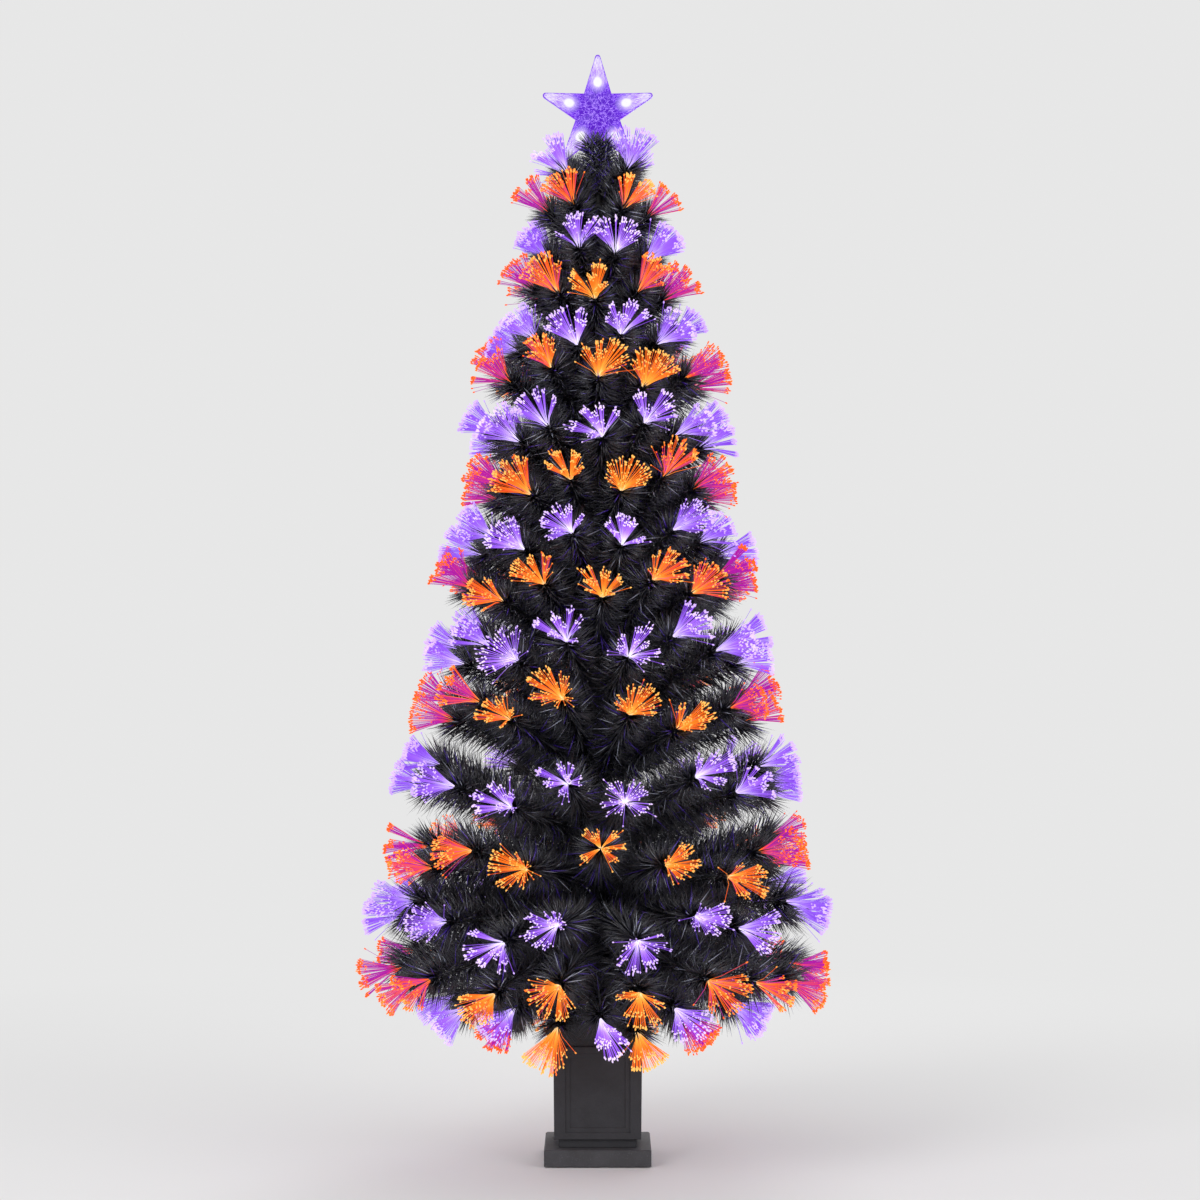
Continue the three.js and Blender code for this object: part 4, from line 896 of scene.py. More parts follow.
class FIBRETREE_OT_sprays(bpy.types.Operator):
    """Fibre sprays: a flattened fan of lit strands from each holder, in loose clumps"""

    bl_idname = "fibretree.sprays"
    bl_label = "Fibre sprays"

    levels = np.array([0, 0.45, 0.955, 0.977, 1.0])
    fibre_shares = np.array([1, 1, 1, 0, 0])
    bead_shares = np.array([0, 0, 0, 1, 0.4])
    seed = 100
    clump_count = 8
    clump_reach = 0.85
    clump_pull = (0.25, 0.6)
    widest_roll = 34
    stray_share = 0.035
    bend_share = 0.3
    sag_share = 0.06
    bundle_radius = 2.2 * MM
    sunk_depth = 2 * MM
    light_limits = (0.03, 0.97)

    def strands(self, row, fibres, draw):
        """Rings of a row's strands, and the light each strand takes.

        A strand leans by a fan angle and a dip: the nth point of a golden-angle spiral over an ellipse, drawn
        part of the way to the nearest of the spray's clumps. Its line is a quadratic curve from the holder,
        first along the bough's end and then along that lean, and it swells to a bead at the tip. It takes
        more light in a bright clump and near the middle.
        """
        boughs, count = len(row.serials), fibres.strands // 1
        root, run, up, side = (x[:, 0] for x in row.along(np.array([1.0])))
        roll = np.radians(self.widest_roll) * scatter(row.serials, "roll")[:, None]
        across = np.cos(roll) * side + np.sin(roll) * up
        below = np.sin(roll) * side - np.cos(roll) * up
        share = (np.arange(count) + draw.random((boughs, count))) / count
        turn = np.arange(count) * GOLDEN_ANGLE + draw.normal(0, 0.2, share.shape)
        spiral = np.stack([np.cos(turn), np.sin(turn)], -1) * (share ** 0.5)[..., None]
        clumps = draw.uniform(-self.clump_reach, self.clump_reach, (boughs, self.clump_count, 2))
        nearest = np.linalg.norm(spiral[:, :, None] - clumps[:, None], axis=-1).argmin(-1)
        middle = np.take_along_axis(clumps, nearest[..., None], 1)
        lean = spiral + draw.uniform(*self.clump_pull, (boughs, 1, 1)) * (middle - spiral)
        stray = draw.random(share.shape) < self.stray_share
        lean = (lean + draw.normal(0, 0.14, (boughs, 1, 2))) * (1 + 0.5 * stray[..., None])
        bright = draw.uniform(0, 1, (boughs, self.clump_count))
        light = 0.5 * np.take_along_axis(bright, nearest, 1) + 0.45 * (1 - share)
        light = light + draw.normal(0, 0.08, share.shape) - 0.2 * stray
        fan = np.clip(fibres.fan * lean[..., :1], -1.1, 1.1)
        dip = np.clip(fibres.depth * lean[..., 1:], -1, 1)
        run, across, below, root = (x[:, None] for x in (run, across, below, root))
        ahead = np.cos(fan) * np.cos(dip) * run + np.sin(fan) * np.cos(dip) * across + np.sin(dip) * below
        length = draw.uniform(0.84, 1.03, (boughs, 1, 1)) * draw.uniform(0.93, 1, share.shape)[..., None]
        length = fibres.length * length
        offset = self.bundle_radius * (np.sin(fan) * across + np.sin(dip) * below)
        start = root + offset - self.sunk_depth * run
        turn = start + length * self.bend_share * (0.5 * ahead + 0.5 * run)
        sag = np.array([0, 0, -1.0]) * length * draw.uniform(0.0, self.sag_share, share.shape)[..., None]
        tip = root + offset + length * ahead + sag
        t = self.levels[:, None]
        line = quadratic(t, *(place[..., None, :] for place in (start, turn, tip)))
        radii = self.fibre_shares * fibres.radius + self.bead_shares * fibres.bead
        line = line.reshape(-1, len(self.levels), 3)
        rings = carried(line, np.broadcast_to(radii, line.shape[:2]), 3)
        return rings, np.clip(light, *self.light_limits).ravel()

    def execute(self, context):
        fibres = settings("fibres")
        colours = (fibres.orange, fibres.violet, fibres.painted_violet_on_orange)
        # mixed is the painted violet light on dim orange fibres
        warm, cool, mixed = (tuple(colour[:3]) for colour in colours)
        violet = lit_fibre(
            "Violet fibre",
            hot=with_bead((0.86, 0.68, 1), (0, (1, 1, 1)), (0.36, (0.86, 0.74, 1)),
                          (0.66, (0.42, 0.18, 1)), (0.95, (0.34, 0.1, 1))),
            dim=with_bead((0.42, 0.2, 1), (0, (0.7, 0.5, 1)), (0.2, cool),
                          (0.6, shade(cool, 0.62)[:3]), (0.95, shade(cool, 0.5)[:3])),
        )
        orange = lit_fibre(
            "Orange fibre",
            hot=with_bead((1, 0.52, 0.12), (0, (1, 0.86, 0.5)), (0.3, (1, 0.42, 0.06)),
                          (0.7, warm), (0.95, warm)),
            # The dim orange ramp turns to the painted violet light along the strand
            dim=with_bead((1, 0.09, 0.01), (0, (1, 0.2, 0.02)), (0.2, (0.7, 0.03, 0.02)),
                          (0.5, mixed), (0.95, mixed)),
            half=with_bead((1, 0.24, 0.03), (0, (1, 0.42, 0.06)), (0.3, (0.95, 0.09, 0.01)),
                           (0.95, (0.8, 0.05, 0.015))),
        )
        for row in grow_rows():
            draw = np.random.default_rng(self.seed + row.number)
            rings, light = self.strands(row, fibres, draw)
            count = len(rings) // len(row.serials)
            # Painted light: sprays are made dimmer towards the tree's left and right, as they look from the
            # front, and there dim orange strands show the painted violet light from their neighbours
            aside = np.repeat(np.cos(row.azimuths) ** 2, count)
            tone = np.repeat(scatter(row.serials, "height"), count)
            if row.colour == "orange":
                light = (0.5 + 0.5 * light) * (1.3 - 1.15 * aside - 0.2 * tone)
                light = 0.5 + 1.8 * (light + draw.normal(0, 0.16, light.shape) - 0.5)
            else:
                light = (0.25 + 0.75 * light) * (1.3 - 0.65 * aside - 0.15 * tone)
            light = np.clip(light, *self.light_limits)
            nudge = np.array([-0.3, 0.3, 0.1]) / BANDS
            spots = np.broadcast_arrays(self.levels[None, :, None], light[:, None, None] + nudge)
            places = np.stack(spots, -1)
            name = f"fibre_row_{row.number:02d}"
            node = f"{row.colour}_string_{row.section}"
            finish = violet if row.colour == "violet" else orange
            body, slot = row.section + "_tree", f"{row.colour}_fibre"
            show(name, tubes(rings, 0, places), [finish], body, [node], smooth=60, mapped=True)
        return {"FINISHED"}


class FIBRETREE_OT_wiring(bpy.types.Operator):
    """Wiring: each string's main wire, its ring round the trunk at each row, and leads to the LED holders"""

    bl_idname = "fibretree.wiring"
    bl_label = "Wiring and LED holders"

    holder = np.array([[0.9, -0.6], [2.1, 1.2], [3.1, 1.8], [3.1, 7.6], [2.1, 9.4]]) * MM
    lead_drop = 2.8 * MM
    lead_sway = 1.2 * MM

    def row_skins(self, row, x):
        """Ring, link, leads and holders of one row."""
        ring_height = row.collar_height - COLLAR_HEIGHT / 2 - RING_DROP
        ring_radius = row.collar + RING_WIRE
        skins = tubes(hoop(ring_radius, ring_height, RING_WIRE), 0, looped=True)
        middle = [x, (MAIN_RADIUS + ring_radius) / 2, ring_height - MM]
        link = np.array([[x, MAIN_RADIUS, ring_height], middle, [x, ring_radius, ring_height]])[None]
        skins += wires(link, LEAD_WIRE, 8)
        t = np.linspace(0.04, 0.965, 9)
        centre, _, up, side = row.along(t)
        sway = self.lead_sway * np.sin(9 * t + row.serials[:, None])
        leads = centre - self.lead_drop * up + sway[..., None] * side
        first = polar(ring_radius, row.azimuths, ring_height)
        leads = np.concatenate([first[:, None], leads], 1)
        skins += wires(leads, LEAD_WIRE, 4)
        root, ahead = (a[:, 0] for a in row.along(np.array([1.0]))[:2])
        skins += tubes(turned(self.holder, 8, root - HOLDER_LENGTH * ahead, ahead), 1)
        return skins

    def execute(self, context):
        finishes = [soft_rubber(), black_plastic()]
        rows = grow_rows()
        for colour, sign in (("violet", -1), ("orange", 1)):
            for section, plug in (("upper", "joint_plug"), ("lower", "tree_plug")):
                x = sign * MAIN_OFFSET
                members = [row for row in rows if (row.colour, row.section) == (colour, section)]
                skins = [skin for row in members for skin in self.row_skins(row, x)]
                top = max(row.collar_height for row in members) - COLLAR_HEIGHT / 2 - RING_DROP
                heights = np.linspace(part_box(plug)[1].z, top, 60)
                wave = 0.4 * MM * np.sin(heights / (31 * MM) + sign)
                main = np.stack([x + wave * 0.5, MAIN_RADIUS + wave, heights], -1)[None]
                skins += wires(main, MAIN_WIRE, 8)
                name = f"{colour}_wiring_{section}"
                node = f"{colour}_string_{section}"
                show(name, skins, finishes, section + "_tree", [node], smooth=40)
        return {"FINISHED"}


# Trunk


class FIBRETREE_OT_trunk(bpy.types.Operator):
    """Trunk: round steel sections, their socket, the plugs at the back and the pin for the star"""

    bl_idname = "fibretree.trunk"
    bl_label = "Trunk"

    def execute(self, context):
        coat, plastic = powder_coat(), black_plastic()
        low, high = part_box("trunk_lower")
        wall = 1.2 * MM
        section = [
            [TRUNK_RADIUS - wall, low.z], [TRUNK_RADIUS, low.z], [TRUNK_RADIUS, high.z - 3 * MM],
            [TRUNK_RADIUS + 0.25 * MM, high.z - 2.6 * MM], [TRUNK_RADIUS + 0.25 * MM, high.z],
            [TRUNK_RADIUS - wall, high.z],
        ]
        skins = tubes(turned(section, 56), looped=True)
        show("lower_section", skins, [coat], "lower_tree", ["trunk_lower"], smooth=35)
        low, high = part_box("trunk_upper")
        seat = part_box("trunk_lower")[1].z + SEAT_GAP
        inner = SPIGOT_RADIUS - wall
        section = [
            [inner, low.z], [SPIGOT_RADIUS - 0.8 * MM, low.z], [SPIGOT_RADIUS, low.z + 1.5 * MM],
            [SPIGOT_RADIUS, seat], [TRUNK_RADIUS - 0.4 * MM, seat], [TRUNK_RADIUS, seat + MM],
            [TRUNK_RADIUS, seat + 4.6 * MM], [TRUNK_RADIUS - 0.6 * MM, seat + 5.6 * MM],
            [SPIGOT_RADIUS, seat + 6 * MM], [SPIGOT_RADIUS, high.z], [inner, high.z],
        ]
        skins = tubes(turned(section, 56), looped=True)
        show("upper_section", skins, [coat], "upper_tree", ["trunk_upper"], smooth=35)
        low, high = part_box("trunk_foot")
        foot = [[4 * MM, low.z], [TRUNK_RADIUS, low.z], [TRUNK_RADIUS, low.z + 3 * MM],
                [TRUNK_RADIUS - 1.5 * MM, low.z + 3 * MM], [TRUNK_RADIUS - 1.5 * MM, high.z],
                [4 * MM, high.z]]
        turned_piece("foot_cap", foot, plastic, "trunk_foot")
        low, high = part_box("top_pin")
        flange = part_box("trunk_upper")[1].z + SEAT_GAP
        pin = [[3 * MM, low.z], [inner - 0.3 * MM, low.z], [inner - 0.3 * MM, flange],
               [SPIGOT_RADIUS, flange], [SPIGOT_RADIUS, flange + 4 * MM], [4.2 * MM, flange + 4 * MM],
               [3.9 * MM, flange + 6 * MM], [3.9 * MM, high.z - 1.5 * MM], [2.4 * MM, high.z]]
        turned_piece("star_pin", pin, plastic, "top_pin")
        for node in ("tree_plug", "joint_socket", "joint_plug", "base_jack"):
            softened(node + "_moulding", node, plastic, 0.5 * MM)
        self.socket(coat)
        return {"FINISHED"}

    def socket(self, coat):
        """Socket tube with a rolled lip and the welded hexagonal nut of the thumbscrew."""
        low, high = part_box("trunk_socket")
        inner, outer = TRUNK_RADIUS + SEAT_GAP, TRUNK_RADIUS + SEAT_GAP + 3.5 * MM
        tube = [
            [3 * MM, low.z], [outer, low.z], [outer, high.z], [inner, high.z],
            [inner, low.z + 3 * MM], [3 * MM, low.z + 3 * MM],
        ]
        skins = tubes(turned(rounded(tube, 0.8 * MM), 56))
        screw_low, screw_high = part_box("clamp_screw")
        height = (screw_low.z + screw_high.z) / 2
        nut = [[5 * MM, outer - 2 * MM], [6.2 * MM, outer - 2 * MM], [7 * MM, outer - MM],
               [7 * MM, high.x - 0.8 * MM], [6.3 * MM, high.x], [3.4 * MM, high.x]]
        skins += tubes(turned(nut, 6, (0, 0, height), (1, 0, 0)))
        show("socket_tube", skins, [coat], "pot", ["trunk_socket"], smooth=30)


# Pot


class FIBRETREE_OT_pot(bpy.types.Operator):
    """Pot: grained plinth, panelled body and cap, its base plate, feet, screws and ballast"""

    bl_idname = "fibretree.pot"
    bl_label = "Pot"

    def execute(self, context):
        pot = settings("pot")
        moulding = grained("Charcoal moulding", pot.moulding)
        plinth = grained("Speckled plinth", pot.plinth, 0.66, 800, 0.16 * MM, speckle=0.5)
        for node, finish in (("pot_body", moulding), ("pot_cap", moulding), ("pot_plinth", plinth)):
            softened(node + "_moulding", node, finish, pot.edge)
        softened("base_panel", "base_plate", black_plastic(), 0.4 * MM)
        rubber, zinc = soft_rubber(), zinc_steel()
        for i in range(1, 5):
            self.foot(i, rubber)
            self.screw(i, zinc)
        for node, finish in (
            ("ballast_block", cast_stone()),
            ("controller_board", board_green()),
            ("pot_lead", rubber),
            ("switch_lead", rubber),
            ("inlet_lead", rubber),
        ):
            dress(node, finish)
        return {"FINISHED"}

    def foot(self, i, rubber):
        """Rubber foot: a disc with a domed edge and a ring groove in its tread."""
        low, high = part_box(f"rubber_foot_{i}")
        centre = (low + high) / 2
        radius = (high.x - low.x) / 2
        tread = [[2 * MM, low.z], [5 * MM, low.z], [5.4 * MM, low.z + 0.7 * MM],
                 [6.4 * MM, low.z + 0.7 * MM], [6.8 * MM, low.z], [radius - MM, low.z],
                 [radius, low.z + MM], [radius, high.z], [2 * MM, high.z]]
        place = (centre.x, centre.y, 0)
        turned_piece(f"foot_{i}", tread, rubber, f"rubber_foot_{i}", 36, place, edge=0.4 * MM)

    def screw(self, i, zinc):
        """Pan-head screw seen from below: domed head with a round recess, over a ridged shank."""
        low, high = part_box(f"base_screw_{i}")
        centre = (low + high) / 2
        place = (centre.x, centre.y, 0)
        head = [[1.3 * MM, low.z + 1.2 * MM], [1.3 * MM, low.z], [2.9 * MM, low.z], [3.6 * MM, low.z + MM],
                [3.6 * MM, low.z + 2.2 * MM], [1.4 * MM, low.z + 2.2 * MM]]
        ridges = np.arange(low.z + 2.2 * MM, high.z - 1.6 * MM, 0.6 * MM)
        crests = np.stack([np.where(np.arange(len(ridges)) % 2, 1.7, 1.3) * MM, ridges], -1)
        profile = np.concatenate([head, crests, [[0.3 * MM, high.z]]])
        skins = tubes(turned(profile, 24, place))
        show(f"plate_screw_{i}", skins, [zinc], "pot", [f"base_screw_{i}"], smooth=50)


class FIBRETREE_OT_controls(bpy.types.Operator):
    """Controls: power inlet and rocker switch at the back, and the thumbscrew on the socket"""

    bl_idname = "fibretree.controls"
    bl_label = "Controls"

    def execute(self, context):
        plastic, gloss, zinc = black_plastic(), gloss_plastic(), zinc_steel()
        softened("switch_bezel", "switch_frame", plastic, 0.4 * MM)
        softened("switch_key", "switch_rocker", gloss, 0.35 * MM)
        self.inlet(plastic, zinc)
        self.thumbscrew(gloss, zinc)
        return {"FINISHED"}

    def inlet(self, plastic, zinc):
        """Flanged barrel with a blind bore, and the bright centre pin in it."""
        low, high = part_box("power_inlet")
        centre = (low + high) / 2
        place = (centre.x, 0, centre.z)
        face = high.y
        barrel = np.array([
            [1.5 * MM, low.y], [4 * MM, low.y], [4 * MM, face - 1.2 * MM], [5.5 * MM, face - 1.2 * MM],
            [5.5 * MM, face], [2.85 * MM, face], [2.85 * MM, face - 9 * MM], [0.5 * MM, face - 9 * MM],
        ])
        pin = np.array([
            [0.9 * MM, face - 9.2 * MM], [MM, face - 8.8 * MM], [MM, face - 1.6 * MM],
            [0.4 * MM, face - MM],
        ])
        skins = tubes(turned(rounded(barrel, 0.3 * MM), 40, place, (0, 1, 0)), 0)
        skins += tubes(turned(rounded(pin, 0.2 * MM), 20, place, (0, 1, 0)), 1)
        show("inlet_barrel", skins, [plastic, zinc], "pot", ["power_inlet"], smooth=35)

    def thumbscrew(self, gloss, zinc):
        """Threaded shank and its lobed knob.

        The thread's radius is a triangle wave of the way along less the turn. The knob's is its profile's,
        less a share of 1 less the cosine of six times the turn, so that its rim has six lobes.
        """
        low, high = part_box("clamp_screw")
        height = (low.z + high.z) / 2
        pitch, steps, sides = MM, 161, 24
        root_radius, thread_depth = 2.45 * MM, 0.55 * MM
        along = np.linspace(low.x, high.x, steps)[:, None]
        turn = full_turn(sides)[None]
        phase = (along / pitch - turn / (2 * math.pi)) % 1
        crest = (1 - np.abs(2 * phase - 1)) * np.clip((high.x - along) / (2 * MM), 0, 1)
        radius = root_radius + thread_depth * crest
        skins = self.lobed(along, radius, turn, height)
        show("thumbscrew_shank", skins, [zinc], "clamp_screw", ["clamp_screw"], smooth=50)
        low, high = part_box("clamp_knob")
        profile = rounded(
            np.array([[3.6 * MM, low.x + 1.5 * MM], [4.4 * MM, low.x], [8.6 * MM, low.x],
                      [9.7 * MM, low.x + 2 * MM], [9.7 * MM, high.x - 1.6 * MM],
                      [8.2 * MM, high.x - 0.3 * MM], [5 * MM, high.x],
                      [4.2 * MM, high.x - 0.8 * MM], [0.6 * MM, high.x - 0.8 * MM]]), 0.8 * MM)
        turn = full_turn(96)[None]
        grip = np.clip((profile[:, :1] - 5 * MM) / (4 * MM), 0, 1)
        lobes, lobe_share = 6, 0.05
        radius = profile[:, :1] * (1 - lobe_share * grip * (1 - np.cos(lobes * turn)))
        skins = self.lobed(profile[:, 1:], radius, turn, height)
        show("thumbscrew_knob", skins, [gloss], "clamp_knob", ["clamp_knob"], smooth=40)

    def lobed(self, along, radius, turn, height):
        """Skins of rings round a level axis, whose radius changes with the turn."""
        level = np.broadcast_to(along, radius.shape)
        return tubes(np.stack([level, radius * np.cos(turn), height + radius * np.sin(turn)], -1)[None])


# Star


def star_outline(radius, notch, tip_half, tip_steps=6, edge_steps=26):
    """Outline of the star in the XZ plane, as arm-long and sideways distances and points.

    Half an arm is an arc round its tip and a straight edge down to the notch; it is mirrored, then turned to
    each of the five arms.
    """
    corner = np.array([notch * math.cos(math.pi / 5), notch * math.sin(math.pi / 5)])
    slope = math.atan2(corner[1] - tip_half, radius - corner[0])
    apex = radius + tip_half / math.tan(slope)
    bend = (apex - radius) / (1 / math.sin(slope) - 1)
    middle = apex - bend / math.sin(slope)
    turn = np.linspace(0, math.pi / 2 - slope, tip_steps)
    arc = np.stack([middle + bend * np.cos(turn), bend * np.sin(turn)], -1)
    edge = arc[-1] + np.linspace(0, 1, edge_steps + 1)[1:, None] * (corner - arc[-1])
    half = np.concatenate([arc, edge])
    arm = np.concatenate([half[:0:-1] * [1, -1], half])[1:]
    spin = np.arange(5)[:, None] * 2 * math.pi / 5
    x = arm[:, 0] * np.sin(spin) + arm[:, 1] * np.cos(spin)
    z = arm[:, 0] * np.cos(spin) - arm[:, 1] * np.sin(spin)
    return np.tile(arm, (5, 1)), np.stack([x.ravel(), z.ravel()], -1)


class FIBRETREE_OT_star(bpy.types.Operator):
    """Star: two crackled half shells that glow from the LEDs inside, on a round stem"""

    bl_idname = "fibretree.star"
    bl_label = "Star"

    def execute(self, context):
        star = settings("star")
        glow = self.crackle(star)
        _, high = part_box("star_front")
        centre = high.z - star.radius
        for sign, name, node in ((1, "star_face", "star_front"), (-1, "star_rear", "star_back")):
            skins = self.shell(star, centre, sign)
            show(name, skins, [glow], "star", [node], smooth=50, mapped=True)
        low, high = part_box("star_stem")
        inner, outer = 4.2 * MM, 5.6 * MM
        stem = [[0.8 * MM, high.z - 3 * MM], [inner, high.z - 3 * MM], [inner, low.z], [outer, low.z],
                [outer, high.z], [0.8 * MM, high.z]]
        turned_piece("stem_tube", stem, black_plastic(), "star_stem")
        tints = (0.8, 0.75, 0.95, 1), (0.98, 0.95, 1, 1)
        glare = {"Emission_Color": (0.85, 0.75, 1, 1), "Emission_Strength": 2.0}
        dress("star_lights", patched("Lit LED", (0.9, 0.85, 1, 1), 0.3, (300, 2), tints, **glare))
        return {"FINISHED"}

    def shell(self, star, centre, sign):
        """One half: rays from the centre to the outline, rising to the peak, then back inside.

        A ray's share s of the way out lies peak + (rim - peak) s from the seam. Dimples are sunk by a product
        of two cosines of the distances along and across the arm, shifted by slow waves so that they don't
        line up.
        """
        wall, seam = 1.6 * MM, 0.15 * MM
        long_pitch, cross_pitch = 8 * MM, 4.4 * MM
        local, flat = star_outline(star.radius, star.notch, 3.2 * MM)
        out = np.concatenate([[0.015], np.linspace(0.05, 0.985, 44), [1.0]])[:, None]
        along, aside = out * local[:, 0], out * local[:, 1]
        rise = star.peak + (star.rim - star.peak) * out
        warp = 0.9 * np.sin(along * 260) + 0.7 * np.sin(aside * 410 + 1)
        long_wave = np.cos(along * 2 * math.pi / long_pitch + warp)
        pattern = long_wave * np.cos(aside * 2 * math.pi / cross_pitch + warp)
        fade = np.clip((1 - out) / 0.06, 0, 1) * np.clip(out / 0.08, 0, 1)
        depth = rise - star.dimple * fade * np.maximum(pattern, -0.25)
        inset = 1 - wall / star.notch
        inner = np.array([1.0, 0.5, 0.02])[:, None]
        inner_out = inner * inset
        inner_rise = star.peak - wall + (star.rim - star.peak) * inner
        scale = np.concatenate([out, [[1.0], [inset]], inner_out])
        inside = np.broadcast_to(inner_rise, (3, len(flat)))
        depth = np.concatenate([depth, np.full((2, len(flat)), seam), inside])
        x = sign * scale * flat[:, 0]
        z = centre + scale * flat[:, 1]
        rings = np.stack([x, -sign * depth, np.broadcast_to(z, depth.shape)], -1)[None]
        half = star.notch * math.sin(math.pi / 5)
        across = 0.5 + scale * local[:, 1] / (2.2 * half)
        places = np.stack([scale * local[:, 0] / star.radius, across], -1)[None]
        return tubes(rings, 0, np.clip(places, 0, 1))

    def crackle(self, star):
        """Clear plastic lit from inside: streaks along the arms, cells in the middle, spots over the LEDs.

        The map's first direction runs from the centre to the tip, its second across the arm.
        """
        traits = {"Specular_IOR_Level": 0.2, "Emission_Strength": 0.95}
        finish = Finish("Lit star moulding", (0.1, 0.06, 0.25, 1), 0.25, **traits)
        place, outward, _ = finish.mapped()
        toward_tip = finish.spread(outward, 0.25, 0.6)
        veins = []
        for size, width in (((9.0, 11.0, 1.0), 0.04), ((5.0, 34.0, 1.0), 0.05)):
            stretched = finish.add("Mapping", {"Vector": place, "Scale": size}).outputs["Vector"]
            swirl = finish.noise(1.0, 3, 0.62, stretched)
            off = finish.math("ABSOLUTE", finish.math("SUBTRACT", swirl, 0.5))
            veins.append(finish.spread(off, 0.0, width, 1.0, 0.0))
        cells, streaks = veins
        mixed = finish.add("Mix", {"Factor": toward_tip, "A": cells, "B": streaks}).outputs["Result"]
        paler = finish.spread(outward, 0.38, 0.88, 0.0, 0.85)
        light = finish.math("MULTIPLY_ADD", mixed, 0.72, paler, use_clamp=True)
        tone = tuple(star.glow[:3])
        body = ramp(finish, light, (
            (0.0, shade(tone, 0.6)[:3]), (0.25, tone), (0.6, (0.5, 0.27, 1)), (1.0, (0.86, 0.8, 1)),
        ))
        # Painted shade: the side wall within the rim's half thickness of the seam glows a darker violet, for
        # how the rim looks edge-on
        depth = finish.add("SeparateXYZ", {"Vector": finish.around()}).outputs["Y"]
        depth = finish.math("ABSOLUTE", depth)
        edge = finish.spread(depth, star.rim * 1.02, star.rim * 1.1, 1.0, 0.0)
        body = finish.blend(edge, body, (0.17, 0.0, 0.75, 1))
        led_place, squeeze = (0.52, 0.5, 0.0), (0.8, 0.5, 0.0)
        offset = finish.math("SUBTRACT", place, led_place, kind="VectorMath")
        squeezed = finish.math("MULTIPLY", offset, squeeze, kind="VectorMath")
        away = finish.math("LENGTH", squeezed, kind="VectorMath", output="Value")
        spot = finish.spread(away, 0.055, 0.085, 1.0, 0.0)
        halo = finish.spread(away, 0.06, 0.17, 0.55, 0.0)
        haloed = finish.blend(halo, body, (0.9, 0.8, 1, 1))
        finish.drive("Emission Color", finish.blend(spot, haloed, (1, 1, 1, 1)))
        finish.drive("Base Color", finish.blend(mixed, (0.012, 0.004, 0.06, 1), (0.1, 0.07, 0.2, 1)))
        finish.bump(mixed, 0.3, 0.3 * MM)
        return finish.material


# Stage


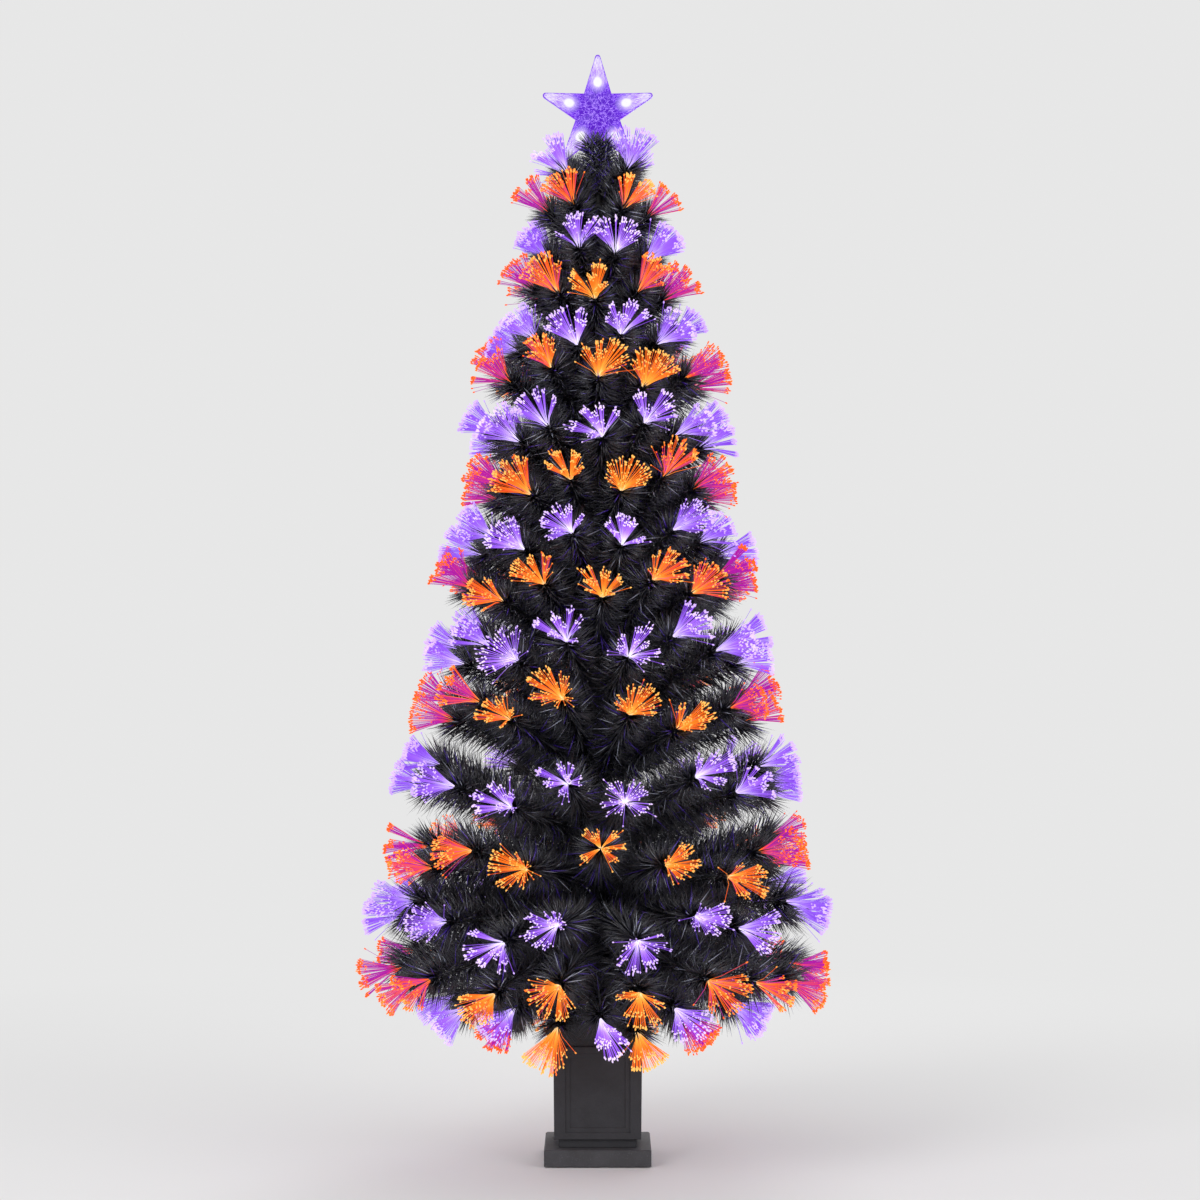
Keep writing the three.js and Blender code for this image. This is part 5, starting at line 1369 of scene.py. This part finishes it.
class FIBRETREE_OT_stage(bpy.types.Operator):
    """Stage: pale floor, soft studio lights and the camera at the tree's front"""

    bl_idname = "fibretree.stage"
    bl_label = "Stage"

    def execute(self, context):
        stage = settings("stage")
        floor_level = packed_box[0].z
        self.floor(stage, floor_level)
        self.world()
        self.lamps(floor_level)
        camera = placed("front_camera", bpy.data.cameras.new("front_camera"))
        camera.location = (stage.aside, -stage.distance, stage.eye)
        camera.rotation_euler = (math.pi / 2, 0, 0)
        camera.data.sensor_fit = "HORIZONTAL"
        camera.data.lens = camera.data.sensor_width * stage.distance / stage.frame_width
        camera.data.clip_end = 200
        context.scene.camera = camera
        context.scene.view_settings.view_transform = "Standard"
        return {"FINISHED"}

    def floor(self, stage, level):
        """Flat square, which camera rays see fade into the backdrop's tone away from the tree."""
        reach = 30.0
        signs = np.array([[-1, -1], [1, -1], [1, 1], [-1, 1]])
        corner = np.concatenate([signs * reach, np.full((4, 1), level)], 1)
        skin = Skin(corner, np.array([[0, 1, 2, 3]]), np.zeros(1, int), np.zeros((4, 2)))
        mesh = shape_mesh("floor", [skin])
        finish = Finish("Pale floor", stage.floor, 0.9)
        cloudy = finish.noise(1.4, 3)
        finish.drive("Base Color", finish.blend(cloudy, shade(stage.floor, 0.98), stage.floor))
        away = finish.math("LENGTH", finish.around(), kind="VectorMath", output="Value")
        far = finish.spread(away, 0.5, 2.6)
        seen = finish.add("LightPath").outputs["Is Camera Ray"]
        fade = finish.math("MULTIPLY", far, seen)
        backdrop = finish.add("Emission", {"Color": BACKDROP, "Strength": 1.0})
        choose = finish.add("MixShader", {0: fade, 1: finish.shader.outputs[0], 2: backdrop.outputs[0]})
        finish.tree.links.new(choose.outputs[0], finish.tree.nodes["Material Output"].inputs["Surface"])
        mesh.materials.append(finish.material)
        placed("floor", mesh)

    def world(self):
        """Even sky light; camera and mirror rays see a pale backdrop instead."""
        world = bpy.data.worlds.new("Studio")
        world.use_nodes = True
        bpy.context.scene.world = world
        tree = world.node_tree
        soft = tree.nodes["Background"]
        soft.inputs["Color"].default_value = (1, 1, 1, 1)
        soft.inputs["Strength"].default_value = 0.55
        seen = add_node(tree, "Background", {"Color": BACKDROP})
        rays = add_node(tree, "LightPath").outputs
        clear = {0: rays["Is Camera Ray"], 1: rays["Is Glossy Ray"]}
        either = add_node(tree, "Math", clear, operation="MAXIMUM")
        skies = {"Fac": either.outputs[0], 1: soft.outputs[0], 2: seen.outputs[0]}
        choose = add_node(tree, "MixShader", skies)
        tree.links.new(choose.outputs[0], tree.nodes["World Output"].inputs["Surface"])

    def lamps(self, floor_level):
        """Soft lamps: a key to the left, a fill to the right and one behind, aimed at the tree's middle."""
        aim_height = 0.9
        aim = np.array([0, 0, floor_level + aim_height])
        for name, place, size, power in (
            ("key", (-2.6, -3.2, 3.0), 2.4, 95),
            ("fill", (3.2, -2.6, 1.8), 2.4, 45),
            ("rear", (0.8, 3.6, 2.8), 2.4, 60),
        ):
            lamp = bpy.data.lights.new(name, "AREA")
            lamp.shape = "SQUARE"
            lamp.size = size
            lamp.energy = power
            holder = placed(name, lamp)
            holder.location = place
            toward = aim - np.array(place)
            flat = math.hypot(toward[0], toward[1])
            spin = math.atan2(toward[1], toward[0]) - math.pi / 2
            holder.rotation_euler = (math.atan2(flat, -toward[2]), 0, spin)


class FIBRETREE_PT_panel(bpy.types.Panel):
    """Lists the tree's groups of pieces and their sizes"""

    bl_idname = "FIBRETREE_PT_panel"
    bl_label = "Fibre-optic tree"
    bl_space_type = "VIEW_3D"
    bl_region_type = "UI"
    bl_category = "Tree"

    def draw(self, context):
        for operator in OPERATORS:
            self.layout.operator(operator.bl_idname)
        for group, kind in GROUPS.items():
            box = self.layout.box()
            box.label(text=kind.__doc__)
            for trait in kind.__annotations__:
                box.prop(settings(group), trait)


GROUPS = {
    "foliage": FoliageSettings,
    "fibres": FibreSettings,
    "pot": PotSettings,
    "star": StarSettings,
    "stage": StageSettings,
}
OPERATORS = (
    FIBRETREE_OT_stage,
    FIBRETREE_OT_pot,
    FIBRETREE_OT_controls,
    FIBRETREE_OT_trunk,
    FIBRETREE_OT_boughs,
    FIBRETREE_OT_leader,
    FIBRETREE_OT_wiring,
    FIBRETREE_OT_sprays,
    FIBRETREE_OT_star,
)


def register():
    for kind in (*GROUPS.values(), *OPERATORS, FIBRETREE_PT_panel):
        bpy.utils.register_class(kind)
    for group, kind in GROUPS.items():
        setattr(bpy.types.Scene, "fibre_tree_" + group, bpy.props.PointerProperty(type=kind))


def unregister():
    for group in GROUPS:
        delattr(bpy.types.Scene, "fibre_tree_" + group)
    for kind in reversed((*GROUPS.values(), *OPERATORS, FIBRETREE_PT_panel)):
        bpy.utils.unregister_class(kind)


def main():
    register()
    for operator in OPERATORS:
        getattr(bpy.ops.fibretree, operator.bl_idname.split(".")[1])()
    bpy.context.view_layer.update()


if __name__ == "__main__":
    main()
